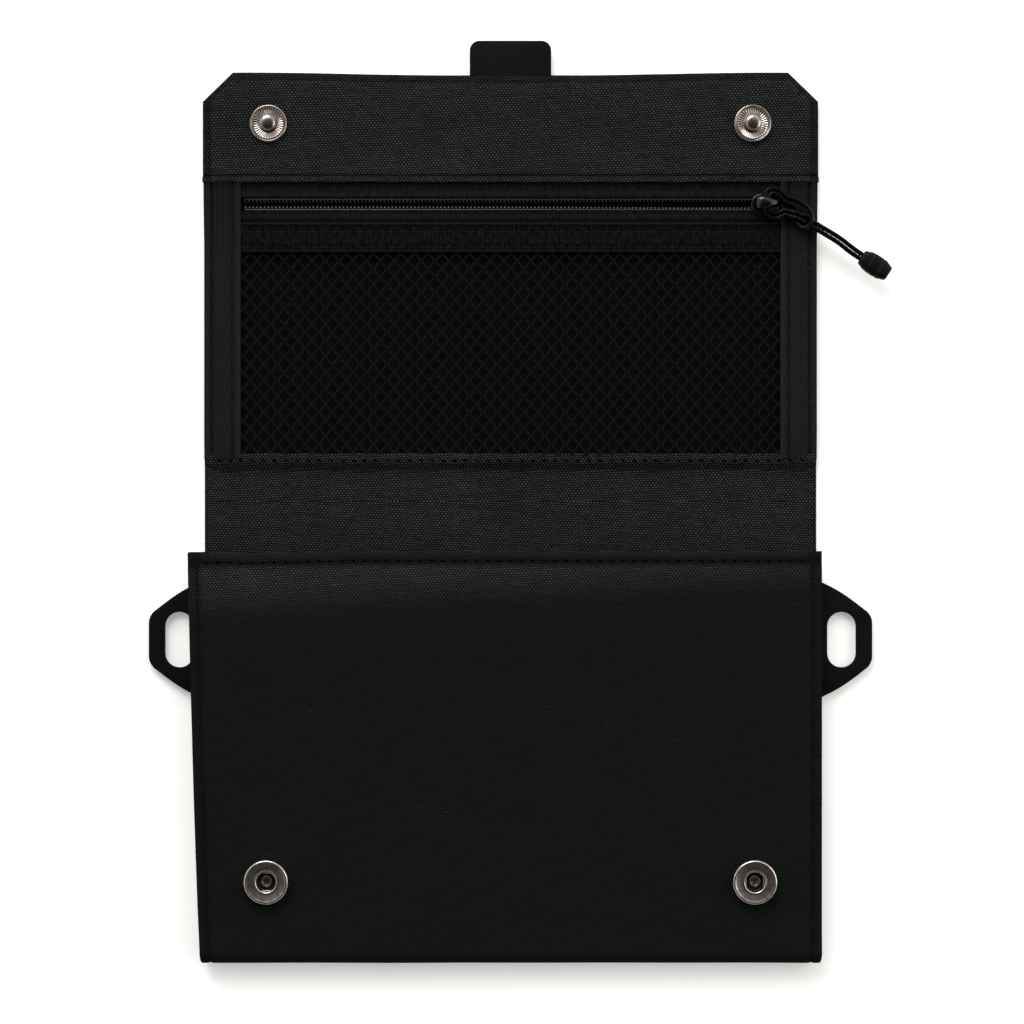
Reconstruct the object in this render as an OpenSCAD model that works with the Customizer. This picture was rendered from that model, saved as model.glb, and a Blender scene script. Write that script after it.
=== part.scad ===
// Neck pouch wallet: a gusseted fabric pouch with a fold-over flap. The flap carries a zipped
// mesh coin pocket and two snap studs, and two strap loops stand out of the pouch's sides.
// It lies open and flat. X runs across it, Y towards the flap's tab, Z up, and the origin is
// on the surface under the middle of the fold.

/* [Overall size] */
// Width of the back panel and of the flap
panel_w = 188; // [160:1:240]
// Fold line to the pouch's bottom edge, and to the end of the flap's tab
pouch_l = 141.2; // [115:0.1:180]
// Thickness of the filled pouch, without its snaps
pouch_t = 8.6; // [7.6:0.1:14]
// Free height between the front panel and the closed flap
closed_gap = 5; // [4.8:0.1:9]

/* [Cloth] */
// Shell cloth of the panels and the band
shell_t = 0.8; // [0.6:0.05:1.2]
// Lining cloth
lining_t = 0.4; // [0.2:0.05:0.6]
// Zip tape and pocket mesh
tape_t = 0.6; // [0.4:0.05:0.8]
// Smooth sheet of the tab and the strap loops
sheet_t = 1.4; // [1:0.1:2]
// Gap between two panels at a crease
crease_gap = 0.3; // [0.2:0.05:0.6]

/* [Pouch] */
// Fold line to the pouch's mouth
mouth_from_fold = 15.2; // [12:0.1:30]
// How much the front panel stands out past the back panel, each side
front_extra = 1; // [0:0.1:2]
// Depth of each side gusset's inward fold
gusset_depth = 6; // [4:0.5:12]
// Seam margin that the lining leaves free along each side
lining_margin = 1; // [0.8:0.1:3]

/* [Strap loops] */
// Fold line to the middle of a loop
loop_from_fold = 42.5; // [38:0.5:60]
// How far a loop stands out of the panel
loop_reach = 17; // [16:0.5:30]
// Length of a loop at the panel's edge
loop_base_l = 36.6; // [34:0.2:50]
// Length of a loop at its outer edge
loop_tip_l = 15.6; // [14:0.2:24]
// Radius of a loop's outer corners
loop_corner_r = 5; // [3:0.5:7]
// Length of the strap slot
slot_l = 17; // [12:0.5:22]
// Width of the strap slot
slot_w = 8.8; // [5:0.2:9.6]
// Sheet left outside the slot
loop_web = 5; // [3:0.2:6]
// Sewn-in tail of a loop
loop_tail = 5.5; // [3:0.5:8]

/* [Flap] */
// How far the closed flap ends short of the pouch's bottom, which its tab makes up
tab_reach = 10.5; // [6:0.5:15]
// Width of the tab
tab_w = 25; // [15:0.5:40]
// Corner radius of the tab
tab_r = 3; // [1:0.5:5]
// Sewn-in tail of the tab
tab_tail = 6; // [4:0.5:10]
// Cut-off corner of the flap
corner_cut = 9; // [4:0.5:14]
// Height of the band that carries the studs
band_h = 33.1; // [26:0.1:40]
// Width of the tape along each side of the coin pocket
strip_w = 11.4; // [8:0.2:16]
// Fold line to the mesh's lower edge
mesh_from_fold = 13.5; // [12:0.1:30]

/* [Coin pocket zip] */
// Band's lower edge to the zip's centreline
zip_drop = 6.8; // [5:0.1:12]
// Zip's centreline to the ribbon
ribbon_drop = 5.4; // [4.2:0.1:10]
// Height of the ribbon that covers the lower tape
ribbon_h = 9.2; // [6:0.1:14]
// Thickness of the ribbon
ribbon_t = 0.6; // [0.4:0.05:0.8]
// Tape that runs on under the band and the ribbon
tape_under = 1.9; // [1:0.1:5]
// Gap between the two open rows
row_gap = 1.4; // [1.2:0.1:3]
// Width of one row of the coil
coil_w = 1.3; // [1:0.1:1.8]
// Thickness of the coil
coil_t = 0.9; // [0.8:0.05:1.2]
// Pitch of the coil
coil_pitch = 1.15; // [0.9:0.05:2.5]

/* [Slider and puller] */
// Length of the slider
slider_l = 8.4; // [7.6:0.2:12]
// Width of the slider
slider_w = 6.6; // [5.6:0.1:9]
// Thickness of each of the slider's wings
wing_t = 0.7; // [0.5:0.05:1]
// Length of the bridge
bridge_l = 7; // [6:0.1:8]
// Width of the bridge
bridge_w = 2.7; // [2:0.1:4]
// Wall of the bridge round its eye
bridge_wall = 0.8; // [0.5:0.05:1.2]
// Diameter of the puller's cord
cord_d = 1.4; // [1:0.1:1.4]
// Length of the cord end
end_l = 9.8; // [7:0.1:14]
// Width of the cord end at its middle
end_w = 6.4; // [5:0.1:9]
// Width of the cord end at its faces
end_face_w = 4.6; // [3.6:0.1:5]
// Thickness of the cord end
end_t = 3.4; // [3:0.1:3.6]

/* [Snaps] */
// Side edge of the flap to a snap's centre
snap_from_side = 20; // [14:0.5:40]
// Far edge of the flap to a snap's centre
snap_from_edge = 15.3; // [12:0.1:20]
// Outer diameter of a stud
stud_d = 11.6; // [10:0.1:12]
// Diameter of a stud's ball
ball_d = 4.8; // [4:0.1:5]
// Outer diameter of a socket
socket_d = 13.7; // [12:0.1:15]
// Diameter of a socket's mouth
mouth_d = 5.9; // [5.6:0.1:7]
// Height of a socket
socket_h = 3; // [2.8:0.1:3.2]
// Diameter of the flat head of a cap or post
cap_d = 10.8; // [9:0.1:12]
// Thickness of that head
cap_t = 0.6; // [0.4:0.05:0.7]
// Diameter of the rivet post
post_d = 3.2; // [2.6:0.1:3.4]

/* [Clearances] */
// Between the slider and the coil, top and bottom
slide_gap = 0.25; // [0.2:0.05:0.4]
// Between moving pieces that pass each other
pass_gap = 0.3; // [0.3:0.05:0.5]
// Round a rivet post in its hole
rivet_fit = 0.05; // [0.02:0.01:0.1]
// Between the slider and the side strips at its two stops
stop_gap = 0.5; // [0.3:0.1:1]

/* [Hidden] */
$fn = 64;

CLOTH = "#2d2e31";
LINING = "#1a1a1c";
TAPE = "#242528";
SHEET = "#1d1d1f";
NICKEL = "#c4bdb6";
GUNMETAL = "#3a3b3e";

// Heights of the flap's layers, from the surface up
hinge_z = shell_t;
lining_top = shell_t + lining_t;
low_wing_z = lining_top + pass_gap;
coil_z = low_wing_z + wing_t + slide_gap;
coil_top = coil_z + coil_t;
tape_z = coil_z + (coil_t - tape_t) / 2;
tape_top = tape_z + tape_t;
flap_t = tape_top + shell_t;
top_wing_z = coil_top + slide_gap;
deck_z = top_wing_z + wing_t;
pull_z = max(flap_t, deck_z) + end_t / 2;
eye_r = cord_d + pass_gap;
slider_top = pull_z + eye_r + bridge_wall;

// The spine is as wide as the closed wallet's inside is thick
spine_w = pouch_t + closed_gap + flap_t - 2 * hinge_z;
crease_y = spine_w / 2;
shell_start = crease_y + crease_gap / 2;
inner_start = crease_y + lining_t + pass_gap;

// Places along the flap
half_w = panel_w / 2;
flap_l = pouch_l - tab_reach;
band_y = flap_l - band_h;
zip_y = band_y - zip_drop;
ribbon_top = zip_y - ribbon_drop;
ribbon_y = ribbon_top - ribbon_h;
mesh_top = ribbon_top - tape_under;
tape_high = band_y + tape_under;
inner_half = half_w - strip_w;
strip_leg = strip_w / 3;
under_half = half_w - strip_leg;
hem_start = inner_start + pass_gap;

// Places of the snaps, the loops and the slider
snap_x = half_w - snap_from_side;
snap_y = flap_l - snap_from_edge;
front_z = pouch_t - shell_t;
bottom_r = pouch_t / 2;
bottom_y = bottom_r - pouch_l;
slot_x = half_w + loop_reach - loop_web - slot_w / 2;
slider_x = inner_half - stop_gap - slider_l / 2;
gusset_mid = pouch_t / 2;

// The puller's cord, as places from the middle of the bridge's eye: from the cord end up to
// the bridge, through its eye, round as the loop that the two tails pass through, and back
CORD_ROUTE = [
    [29.5, -15.7, 0], [26.6, -13.7, 0], [23.4, -11.1, 0], [20.2, -8.4, 0], [17.2, -5.9, -0.3],
    [15.2, -4.3, -0.7], [13.4, -3.3, -0.4], [12.2, -3, 0.1], [10.3, -2.9, 0.7], [8.2, -3.1, 0.3],
    [5.8, -3.2, 0], [3.6, -3.3, 0], [1.9, -2.9, 0], [0.9, -1.9, 0], [0.7, -0.5, 0],
    [0.7, 0.8, 0], [0.9, 2, 0], [1.9, 2.9, 0], [3.6, 3.1, 0], [5.8, 2.6, 0],
    [8, 1.4, -0.2], [9.6, -0.2, -0.5], [10.4, -2.2, -0.8], [10.4, -4.4, -0.8], [11.2, -6.2, -0.3],
    [12.7, -7, 0.3], [14.3, -6.3, 0.7], [15, -4.8, 0.8], [14.9, -3, 0.8], [14, -1.2, 0.6],
    [12, 0.7, 0.3], [9.2, 2.5, 0], [6.4, 4.1, 0], [3.4, 4.6, 0], [1, 4.3, 0],
    [-0.4, 2.9, 0], [-0.7, 1.2, 0], [-0.7, -0.8, 0], [-0.4, -2.6, 0], [0.9, -4.2, 0],
    [3.2, -4.8, 0], [5.8, -4.7, 0], [8.2, -4.6, 0.3], [10.3, -4.4, 0.7], [12.3, -4.7, 0.1],
    [14.1, -5.8, -0.7], [16.3, -7.1, -0.3], [19.3, -9.6, 0], [22.5, -12.3, 0], [25.7, -14.9, 0],
    [28.7, -16.9, 0]
];
// Middle of the cord end's near face, and the way the cord end points
END_AT = [29.1, -16.3];
END_TURN = -33;

// Rings of a tube with eight sides along a route that runs nearly level
SIDES = 8;
function unit(v) = v / norm(v);
function along(route, i) =
    unit(route[min(i + 1, len(route) - 1)] - route[max(i - 1, 0)]);
function ring(centre, way, r) =
    let (side = unit(cross([0, 0, 1], way)), up = cross(way, side))
    [for (k = [0:SIDES - 1]) centre + r * (cos(k * 360 / SIDES) * side + sin(k * 360 / SIDES) * up)];

module tube(route, d) {
    n = len(route);
    points = [for (i = [0:n - 1]) each ring(route[i], along(route, i), d / 2)];
    walls = [for (i = [0:n - 2], k = [0:SIDES - 1])
        let (j = (k + 1) % SIDES)
        [i * SIDES + k, (i + 1) * SIDES + k, (i + 1) * SIDES + j, i * SIDES + j]];
    first = [for (k = [0:SIDES - 1]) k];
    last = [for (k = [SIDES - 1:-1:0]) (n - 1) * SIDES + k];
    polyhedron(points, concat([first, last], walls));
}

// A flat layer that is as wide on both sides of the middle
module layer(half, y0, y1, z0, z1) {
    translate([-half, y0, z0]) cube([2 * half, y1 - y0, z1 - z0]);
}

module at_flap_snap(side) {
    translate([side * snap_x, snap_y, 0]) children();
}

module at_pouch_snap(side) {
    translate([side * snap_x, -snap_y, 0]) children();
}

// Holes for the rivet posts through every layer of the flap
module flap_post_holes() {
    for (side = [-1, 1]) at_flap_snap(side)
        cylinder(h = 4 * flap_t, d = post_d + 2 * rivet_fit, center = true);
}

module flap_outline(y0) {
    polygon([
        [-half_w, y0], [half_w, y0], [half_w, flap_l - corner_cut],
        [half_w - corner_cut, flap_l], [corner_cut - half_w, flap_l],
        [-half_w, flap_l - corner_cut]
    ]);
}

module flap_layer(y0, z0, z1) {
    difference() {
        translate([0, 0, z0]) linear_extrude(z1 - z0) flap_outline(y0);
        flap_post_holes();
    }
}

// Pouch
module back_panel() {
    color(CLOTH) layer(half_w, bottom_y, -shell_start, 0, shell_t);
}

module back_lining() {
    color(CLOTH) difference() {
        layer(half_w - lining_margin, bottom_y, -inner_start, shell_t, lining_top);
        for (side = [-1, 1]) loop_solid(side);
    }
}

module bottom_fold() {
    color(CLOTH) translate([0, bottom_y, bottom_r]) rotate([0, 90, 0])
        linear_extrude(2 * half_w, center = true) difference() {
            circle(bottom_r);
            circle(bottom_r - shell_t);
            translate([-pouch_t, 0]) square(2 * pouch_t);
        }
}

module front_panel() {
    color(CLOTH) difference() {
        layer(half_w + front_extra, bottom_y, -mouth_from_fold, front_z, pouch_t);
        front_post_holes();
    }
}

module front_lining() {
    color(LINING) difference() {
        layer(half_w - lining_margin, bottom_y, -mouth_from_fold - lining_t,
            front_z - lining_t, front_z);
        front_post_holes();
    }
}

module front_post_holes() {
    for (side = [-1, 1]) at_pouch_snap(side)
        cylinder(h = 4 * pouch_t, d = post_d + 2 * rivet_fit, center = true);
}

// A strip folded inwards as a V, from the back panel to the front panel
module gusset(side) {
    fold_x = half_w - gusset_depth;
    cloth = 0.6;
    color(CLOTH) difference() {
        translate([0, -mouth_from_fold, 0]) rotate([90, 0, 0])
            linear_extrude(pouch_l - bottom_r - mouth_from_fold) polygon([
                [side * half_w, shell_t], [side * half_w, shell_t + cloth],
                [side * (fold_x + 2 * cloth), gusset_mid],
                [side * half_w, front_z - cloth], [side * half_w, front_z],
                [side * fold_x, gusset_mid]
            ]);
        loop_solid(side);
    }
}

// The outline of a loop on the right-hand side, with its tail inside the panel's edge
module loop_outline() {
    tip_x = half_w + loop_reach;
    slope = atan2((loop_base_l - loop_tip_l) / 2, loop_reach);
    // distance from a corner to where its round begins, and that round's centre
    cut = loop_corner_r / tan((90 + slope) / 2);
    centre_y = loop_tip_l / 2 - cut;
    difference() {
        union() {
            polygon([
                [half_w - loop_tail, -loop_base_l / 2], [half_w, -loop_base_l / 2],
                [tip_x - cut * cos(slope), -loop_tip_l / 2 - cut * sin(slope)],
                [tip_x - loop_corner_r, -centre_y],
                [tip_x, -centre_y], [tip_x, centre_y],
                [tip_x - loop_corner_r, centre_y],
                [tip_x - cut * cos(slope), loop_tip_l / 2 + cut * sin(slope)],
                [half_w, loop_base_l / 2], [half_w - loop_tail, loop_base_l / 2]
            ]);
            for (end = [-1, 1]) translate([tip_x - loop_corner_r, end * centre_y])
                circle(loop_corner_r);
        }
        translate([slot_x, 0]) square([slot_w, slot_l - slot_w], center = true);
        for (end = [-1, 1]) translate([slot_x, end * (slot_l - slot_w) / 2])
            circle(slot_w / 2);
    }
}

module loop_solid(side) {
    translate([0, -loop_from_fold, shell_t]) mirror([side < 0 ? 1 : 0, 0, 0])
        linear_extrude(sheet_t) loop_outline();
}

module strap_loop(side) {
    color(SHEET) loop_solid(side);
}

// Snap socket: a rolled ring with a groove for its springs, on a base plate
module socket(side) {
    r = socket_d / 2;
    hole = mouth_d / 2;
    base = 0.5;
    groove = [1.35, 1.95];
    color(NICKEL) at_pouch_snap(side) translate([0, 0, pouch_t]) rotate_extrude() polygon([
        [post_d / 2 + rivet_fit, 0], [r - 0.4, 0], [r, 0.5], [r, socket_h - 0.8],
        [r - 0.5, socket_h - 0.1], [r - 0.9, socket_h], [hole + 0.6, socket_h],
        [hole, socket_h - 0.4], [hole, groove[1]], [hole + 0.4, groove[1]],
        [hole + 0.4, groove[0]], [hole, groove[0]], [hole, base], [post_d / 2 + rivet_fit, base]
    ]);
}

// The two spring wires that grip the ball, across the groove
module socket_spring(side) {
    wire = 0.4;
    offset_x = mouth_d / 2 - wire / 2;
    color(GUNMETAL) at_pouch_snap(side) translate([0, 0, pouch_t + 1.65])
        rotate([0, 0, side < 0 ? 90 : 0]) for (end = [-1, 1])
            translate([end * offset_x, 0, 0]) rotate([90, 0, 0])
                cylinder(h = 2.6, d = wire, center = true);
}

// Flat head inside the pouch, and the hollow post that is curled over in the socket
module socket_post(side) {
    curl = 0.3;
    color(NICKEL) at_pouch_snap(side) translate([0, 0, front_z - lining_t]) difference() {
        union() {
            translate([0, 0, -cap_t]) cylinder(h = cap_t, d = cap_d);
            cylinder(h = lining_t + shell_t + 0.5, d = post_d);
            translate([0, 0, lining_t + shell_t + 0.5]) cylinder(h = curl, d = post_d + 0.9);
        }
        translate([0, 0, -cap_t + 0.2]) cylinder(h = pouch_t, d = post_d - 1.6);
    }
}

// Spine
module spine_shell() {
    color(CLOTH) layer(half_w, crease_gap / 2 - crease_y, crease_y - crease_gap / 2, 0, shell_t);
}

module spine_lining() {
    color(CLOTH) layer(half_w - lining_margin, crease_gap - crease_y, crease_y - crease_gap,
        shell_t, lining_top);
}

// Flap
module flap_shell() {
    color(CLOTH) difference() {
        flap_layer(shell_start, 0, shell_t);
        for (side = [-1, 1]) at_flap_snap(side)
            translate([0, 0, -1]) cylinder(h = 1 + cap_t, d = cap_d + 2 * rivet_fit);
    }
}

module flap_lining() {
    color(LINING) flap_layer(inner_start, shell_t, lining_top);
}

module tab_outline() {
    half = tab_w / 2;
    translate([-half, flap_l - tab_tail]) square([tab_w, tab_tail + tab_reach - tab_r]);
    translate([-half + tab_r, flap_l]) square([tab_w - 2 * tab_r, tab_reach]);
    for (side = [-1, 1]) translate([side * (half - tab_r), flap_l + tab_reach - tab_r])
        circle(tab_r);
}

module tab_solid() {
    translate([0, 0, lining_top]) linear_extrude(sheet_t) tab_outline();
}

module flap_tab() {
    color(SHEET) tab_solid();
}

// Stiff layer under the band that the studs are riveted through
module band_interlining() {
    color(LINING) difference() {
        flap_layer(tape_high, lining_top, tape_top);
        tab_solid();
    }
}

module flap_band() {
    color(CLOTH) flap_layer(band_y, tape_top, flap_t);
}

module upper_zip_tape() {
    color(TAPE) layer(under_half, zip_y + row_gap / 2 + coil_w, tape_high, tape_z, tape_top);
}

module lower_zip_tape() {
    color(TAPE) layer(under_half, mesh_top, zip_y - row_gap / 2 - coil_w, tape_z, tape_top);
}

// One row of the coil: a spine strip with a tooth at every pitch, its teeth towards +Y
module coil_row() {
    root = coil_w * 0.45;
    tooth = coil_pitch * 0.6;
    count = floor(2 * (inner_half - stop_gap) / coil_pitch);
    start = -count * coil_pitch / 2;
    teeth = [for (i = [0:count - 1]) let (x = start + i * coil_pitch)
        each [[x, root], [x, coil_w], [x + tooth, coil_w], [x + tooth, root]]];
    translate([0, 0, coil_z]) linear_extrude(coil_t)
        polygon(concat([[-start, root], [-start, 0], [start, 0]], teeth));
}

module upper_zip_coil() {
    color(TAPE) translate([0, zip_y + row_gap / 2 + coil_w, 0]) mirror([0, 1, 0]) coil_row();
}

module lower_zip_coil() {
    color(TAPE) translate([0, zip_y - row_gap / 2 - coil_w, 0]) coil_row();
}

module pocket_ribbon() {
    color(TAPE) layer(inner_half, ribbon_y, ribbon_top, tape_top, tape_top + ribbon_t);
}

module coin_mesh() {
    color(LINING) layer(under_half, mesh_from_fold, mesh_top, tape_z, tape_top);
}

// Folded cloth edge that closes the pocket's lower end
module mesh_hem() {
    color(CLOTH) translate([-half_w, 0, 0]) rotate([90, 0, 90]) linear_extrude(2 * half_w)
        polygon([
            [hem_start, lining_top], [mesh_from_fold, lining_top],
            [mesh_from_fold, tape_top], [mesh_from_fold - 1, tape_top]
        ]);
}

// Side tape: a flange over the pocket's edge and a leg down to the lining
module side_strip(side) {
    color(TAPE) translate([0, band_y, 0]) rotate([90, 0, 0])
        linear_extrude(band_y - mesh_from_fold) polygon([
            [side * half_w, lining_top], [side * half_w, flap_t],
            [side * inner_half, flap_t], [side * inner_half, tape_top],
            [side * under_half, tape_top], [side * under_half, lining_top]
        ]);
}

// Snap stud: a dish with a rolled rim and a ball in its middle
module stud(side) {
    r = stud_d / 2;
    ball = ball_d / 2;
    color(NICKEL) at_flap_snap(side) translate([0, 0, flap_t]) rotate_extrude() polygon([
        [post_d / 2 + rivet_fit, 0], [r - 0.6, 0], [r, 0.35], [r, 0.9], [r - 0.4, 1.2],
        [r - 0.9, 1.15], [r - 1.2, 0.7], [ball - 0.1, 0.55], [ball - 0.45, 0.9],
        [ball - 0.45, 1.9], [ball, 2.5], [ball, 2.9], [ball - 0.4, 3.4], [ball - 1.2, 3.6],
        [0, 3.6], [0, 0.9], [post_d / 2 + rivet_fit, 0.9]
    ]);
}

// Flat cap on the flap's outer face, with the post that the stud is riveted on
module stud_cap(side) {
    color(NICKEL) at_flap_snap(side) {
        cylinder(h = cap_t, d = cap_d);
        cylinder(h = flap_t + 0.8, d = post_d);
    }
}

// Slider
module wing_outline() {
    intersection() {
        circle(d = slider_l);
        square([slider_l, slider_w], center = true);
    }
}

module zip_slider() {
    post_w = row_gap - 2 * pass_gap;
    color(GUNMETAL) translate([slider_x, zip_y, 0]) {
        translate([0, 0, low_wing_z]) linear_extrude(wing_t) wing_outline();
        translate([0, 0, top_wing_z]) linear_extrude(wing_t) wing_outline();
        translate([-1.2, -post_w / 2, low_wing_z]) cube([2.4, post_w, deck_z - low_wing_z]);
        difference() {
            translate([-bridge_l / 2, -bridge_w / 2, top_wing_z])
                cube([bridge_l, bridge_w, slider_top - top_wing_z]);
            translate([bridge_wall * 1.6 - bridge_l / 2, -bridge_w, pull_z - eye_r])
                cube([bridge_l - bridge_wall * 3.2, 2 * bridge_w, 2 * eye_r]);
        }
    }
}

module puller_cord() {
    color(SHEET) translate([slider_x, zip_y, pull_z]) tube(CORD_ROUTE, cord_d);
}

module puller_end() {
    color(SHEET) translate([slider_x + END_AT[0], zip_y + END_AT[1], pull_z]) rotate([0, 0, END_TURN])
        linear_extrude(end_t, center = true) polygon([
            [0, -end_face_w / 2], [end_l * 0.3, -end_w / 2], [end_l * 0.6, -end_w / 2],
            [end_l, -end_face_w / 2], [end_l, end_face_w / 2], [end_l * 0.6, end_w / 2],
            [end_l * 0.3, end_w / 2], [0, end_face_w / 2]
        ]);
}

back_panel();
back_lining();
bottom_fold();
front_panel();
front_lining();
gusset(-1);  // gusset_left
gusset(1);  // gusset_right
strap_loop(-1);  // loop_left
strap_loop(1);  // loop_right
socket(-1);  // socket_left
socket(1);  // socket_right
socket_spring(-1);  // socket_spring_left
socket_spring(1);  // socket_spring_right
socket_post(-1);  // socket_post_left
socket_post(1);  // socket_post_right
spine_shell();
spine_lining();
flap_shell();
flap_lining();
band_interlining();
flap_band();
flap_tab();
upper_zip_tape();
lower_zip_tape();
upper_zip_coil();
lower_zip_coil();
pocket_ribbon();
coin_mesh();
mesh_hem();
side_strip(-1);  // side_strip_left
side_strip(1);  // side_strip_right
stud(-1);  // stud_left
stud(1);  // stud_right
stud_cap(-1);  // stud_cap_left
stud_cap(1);  // stud_cap_right
zip_slider();
puller_cord();
puller_end();
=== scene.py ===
"""Looks of a neck pouch wallet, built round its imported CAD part.

Lengths are in millimetres, in the part's frame, until a mesh is made.
"""

import math

import bmesh
import bpy
import numpy as np
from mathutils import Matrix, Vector


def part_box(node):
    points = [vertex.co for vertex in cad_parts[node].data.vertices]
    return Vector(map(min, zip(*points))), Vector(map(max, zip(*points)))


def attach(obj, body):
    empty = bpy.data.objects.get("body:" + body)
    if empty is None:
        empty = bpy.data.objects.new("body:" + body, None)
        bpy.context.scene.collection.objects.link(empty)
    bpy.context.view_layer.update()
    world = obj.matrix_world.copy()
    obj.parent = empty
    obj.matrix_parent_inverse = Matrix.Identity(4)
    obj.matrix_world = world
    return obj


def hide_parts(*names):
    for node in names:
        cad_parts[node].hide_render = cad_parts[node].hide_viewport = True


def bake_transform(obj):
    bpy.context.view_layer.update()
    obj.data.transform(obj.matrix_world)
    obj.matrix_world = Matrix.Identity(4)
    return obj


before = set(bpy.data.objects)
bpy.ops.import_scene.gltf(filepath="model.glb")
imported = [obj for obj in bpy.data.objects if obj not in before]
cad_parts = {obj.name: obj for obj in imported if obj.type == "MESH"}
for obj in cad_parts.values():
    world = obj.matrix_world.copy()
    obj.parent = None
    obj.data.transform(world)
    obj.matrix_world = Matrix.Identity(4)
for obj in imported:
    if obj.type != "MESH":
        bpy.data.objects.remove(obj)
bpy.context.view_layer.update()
MM = 0.001


def box(node):
    """The lowest and highest corners of a CAD node, in millimetres."""
    low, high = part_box(node)
    return np.array(low) / MM, np.array(high) / MM


# Sizes of the frame
HALF = box("back_panel")[1][0]
SHELL = box("back_panel")[1][2]
LINING_TOP = box("back_lining")[1][2]
LINING_HALF = box("back_lining")[1][0]
BOTTOM_Y = box("back_panel")[0][1]
BACK_END = -BOTTOM_Y
POUCH_T = box("front_panel")[1][2]
MOUTH_Y = box("front_panel")[1][1]
CREASE_Y = (box("spine_shell")[1][1] + box("flap_shell")[0][1]) / 2
FLAP_END = box("flap_shell")[1][1]
BAND_Y = box("flap_band")[0][1]
FACE_Z = box("flap_band")[1][2]
TAPE_Z, TAPE_TOP = box("coin_mesh")[0][2], box("coin_mesh")[1][2]
UNDER = box("coin_mesh")[1][0]
INNER = box("pocket_ribbon")[1][0]
RIBBON_Y, RIBBON_TOP = box("pocket_ribbon")[0][1], box("pocket_ribbon")[1][1]
HEM_Y, MESH_Y = box("mesh_hem")[0][1], box("mesh_hem")[1][1]
MESH_TOP = box("coin_mesh")[1][1]
LOW_COIL, HIGH_COIL = box("lower_zip_coil"), box("upper_zip_coil")
STUDS = {s: (box("stud_" + s)[0] + box("stud_" + s)[1]) / 2 for s in ("left", "right")}
SOCKETS = {s: (box("socket_" + s)[0] + box("socket_" + s)[1]) / 2 for s in ("left", "right")}
SLIDER = (box("zip_slider")[0] + box("zip_slider")[1]) / 2
CUT = 9.0  # cut-off corner of the flap
STITCH = 3.4  # length of one stitch with its gap


# Camera, straight above the open wallet

CAMERA_PLACE = (0.00046, -0.00333, 0.650)  # metres
LENS, SENSOR = 74.25, 36


def make_camera():
    data = bpy.data.cameras.new("camera")
    data.sensor_width, data.lens, data.clip_start = SENSOR, LENS, 0.01
    camera = bpy.data.objects.new("camera", data)
    camera.location = CAMERA_PLACE
    bpy.context.scene.collection.objects.link(camera)
    bpy.context.scene.camera = camera


make_camera()


# Materials

class Num:
    """A number in a node tree, so that sums of nodes read as sums."""

    def __init__(self, graph, socket):
        self.graph, self.socket = graph, socket

    def do(self, operation, *others):
        node = self.graph.tree.nodes.new("ShaderNodeMath")
        node.operation = operation
        for place, value in enumerate((self, *others)):
            self.graph.put(node.inputs[place], value)
        return Num(self.graph, node.outputs[0])

    def ramp(self, low, high, start=0.0, end=1.0):
        """start at low, end at high, smooth between."""
        node = self.graph.tree.nodes.new("ShaderNodeMapRange")
        node.interpolation_type = "SMOOTHSTEP"
        self.graph.put(node.inputs["Value"], self)
        for key, value in (("From Min", low), ("From Max", high), ("To Min", start), ("To Max", end)):
            node.inputs[key].default_value = value
        return Num(self.graph, node.outputs["Result"])


for method, operation in (("__add__", "ADD"), ("__sub__", "SUBTRACT"), ("__mul__", "MULTIPLY"),
                          ("__truediv__", "DIVIDE"), ("__pow__", "POWER"), ("floor", "FLOOR"),
                          ("fract", "FRACT"), ("sin", "SINE"), ("abs", "ABSOLUTE")):
    setattr(Num, method, lambda self, *others, operation=operation: self.do(operation, *others))


class Nodes:
    """The nodes of a material or a world."""

    def __init__(self, tree):
        self.tree = tree

    def put(self, socket, value):
        if isinstance(value, Num):
            self.tree.links.new(value.socket, socket)
        else:
            socket.default_value = value

    def split(self, vector):
        """A vector's three numbers."""
        node = self.tree.nodes.new("ShaderNodeSeparateXYZ")
        self.tree.links.new(vector, node.inputs[0])
        return [Num(self, out) for out in node.outputs]


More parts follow.
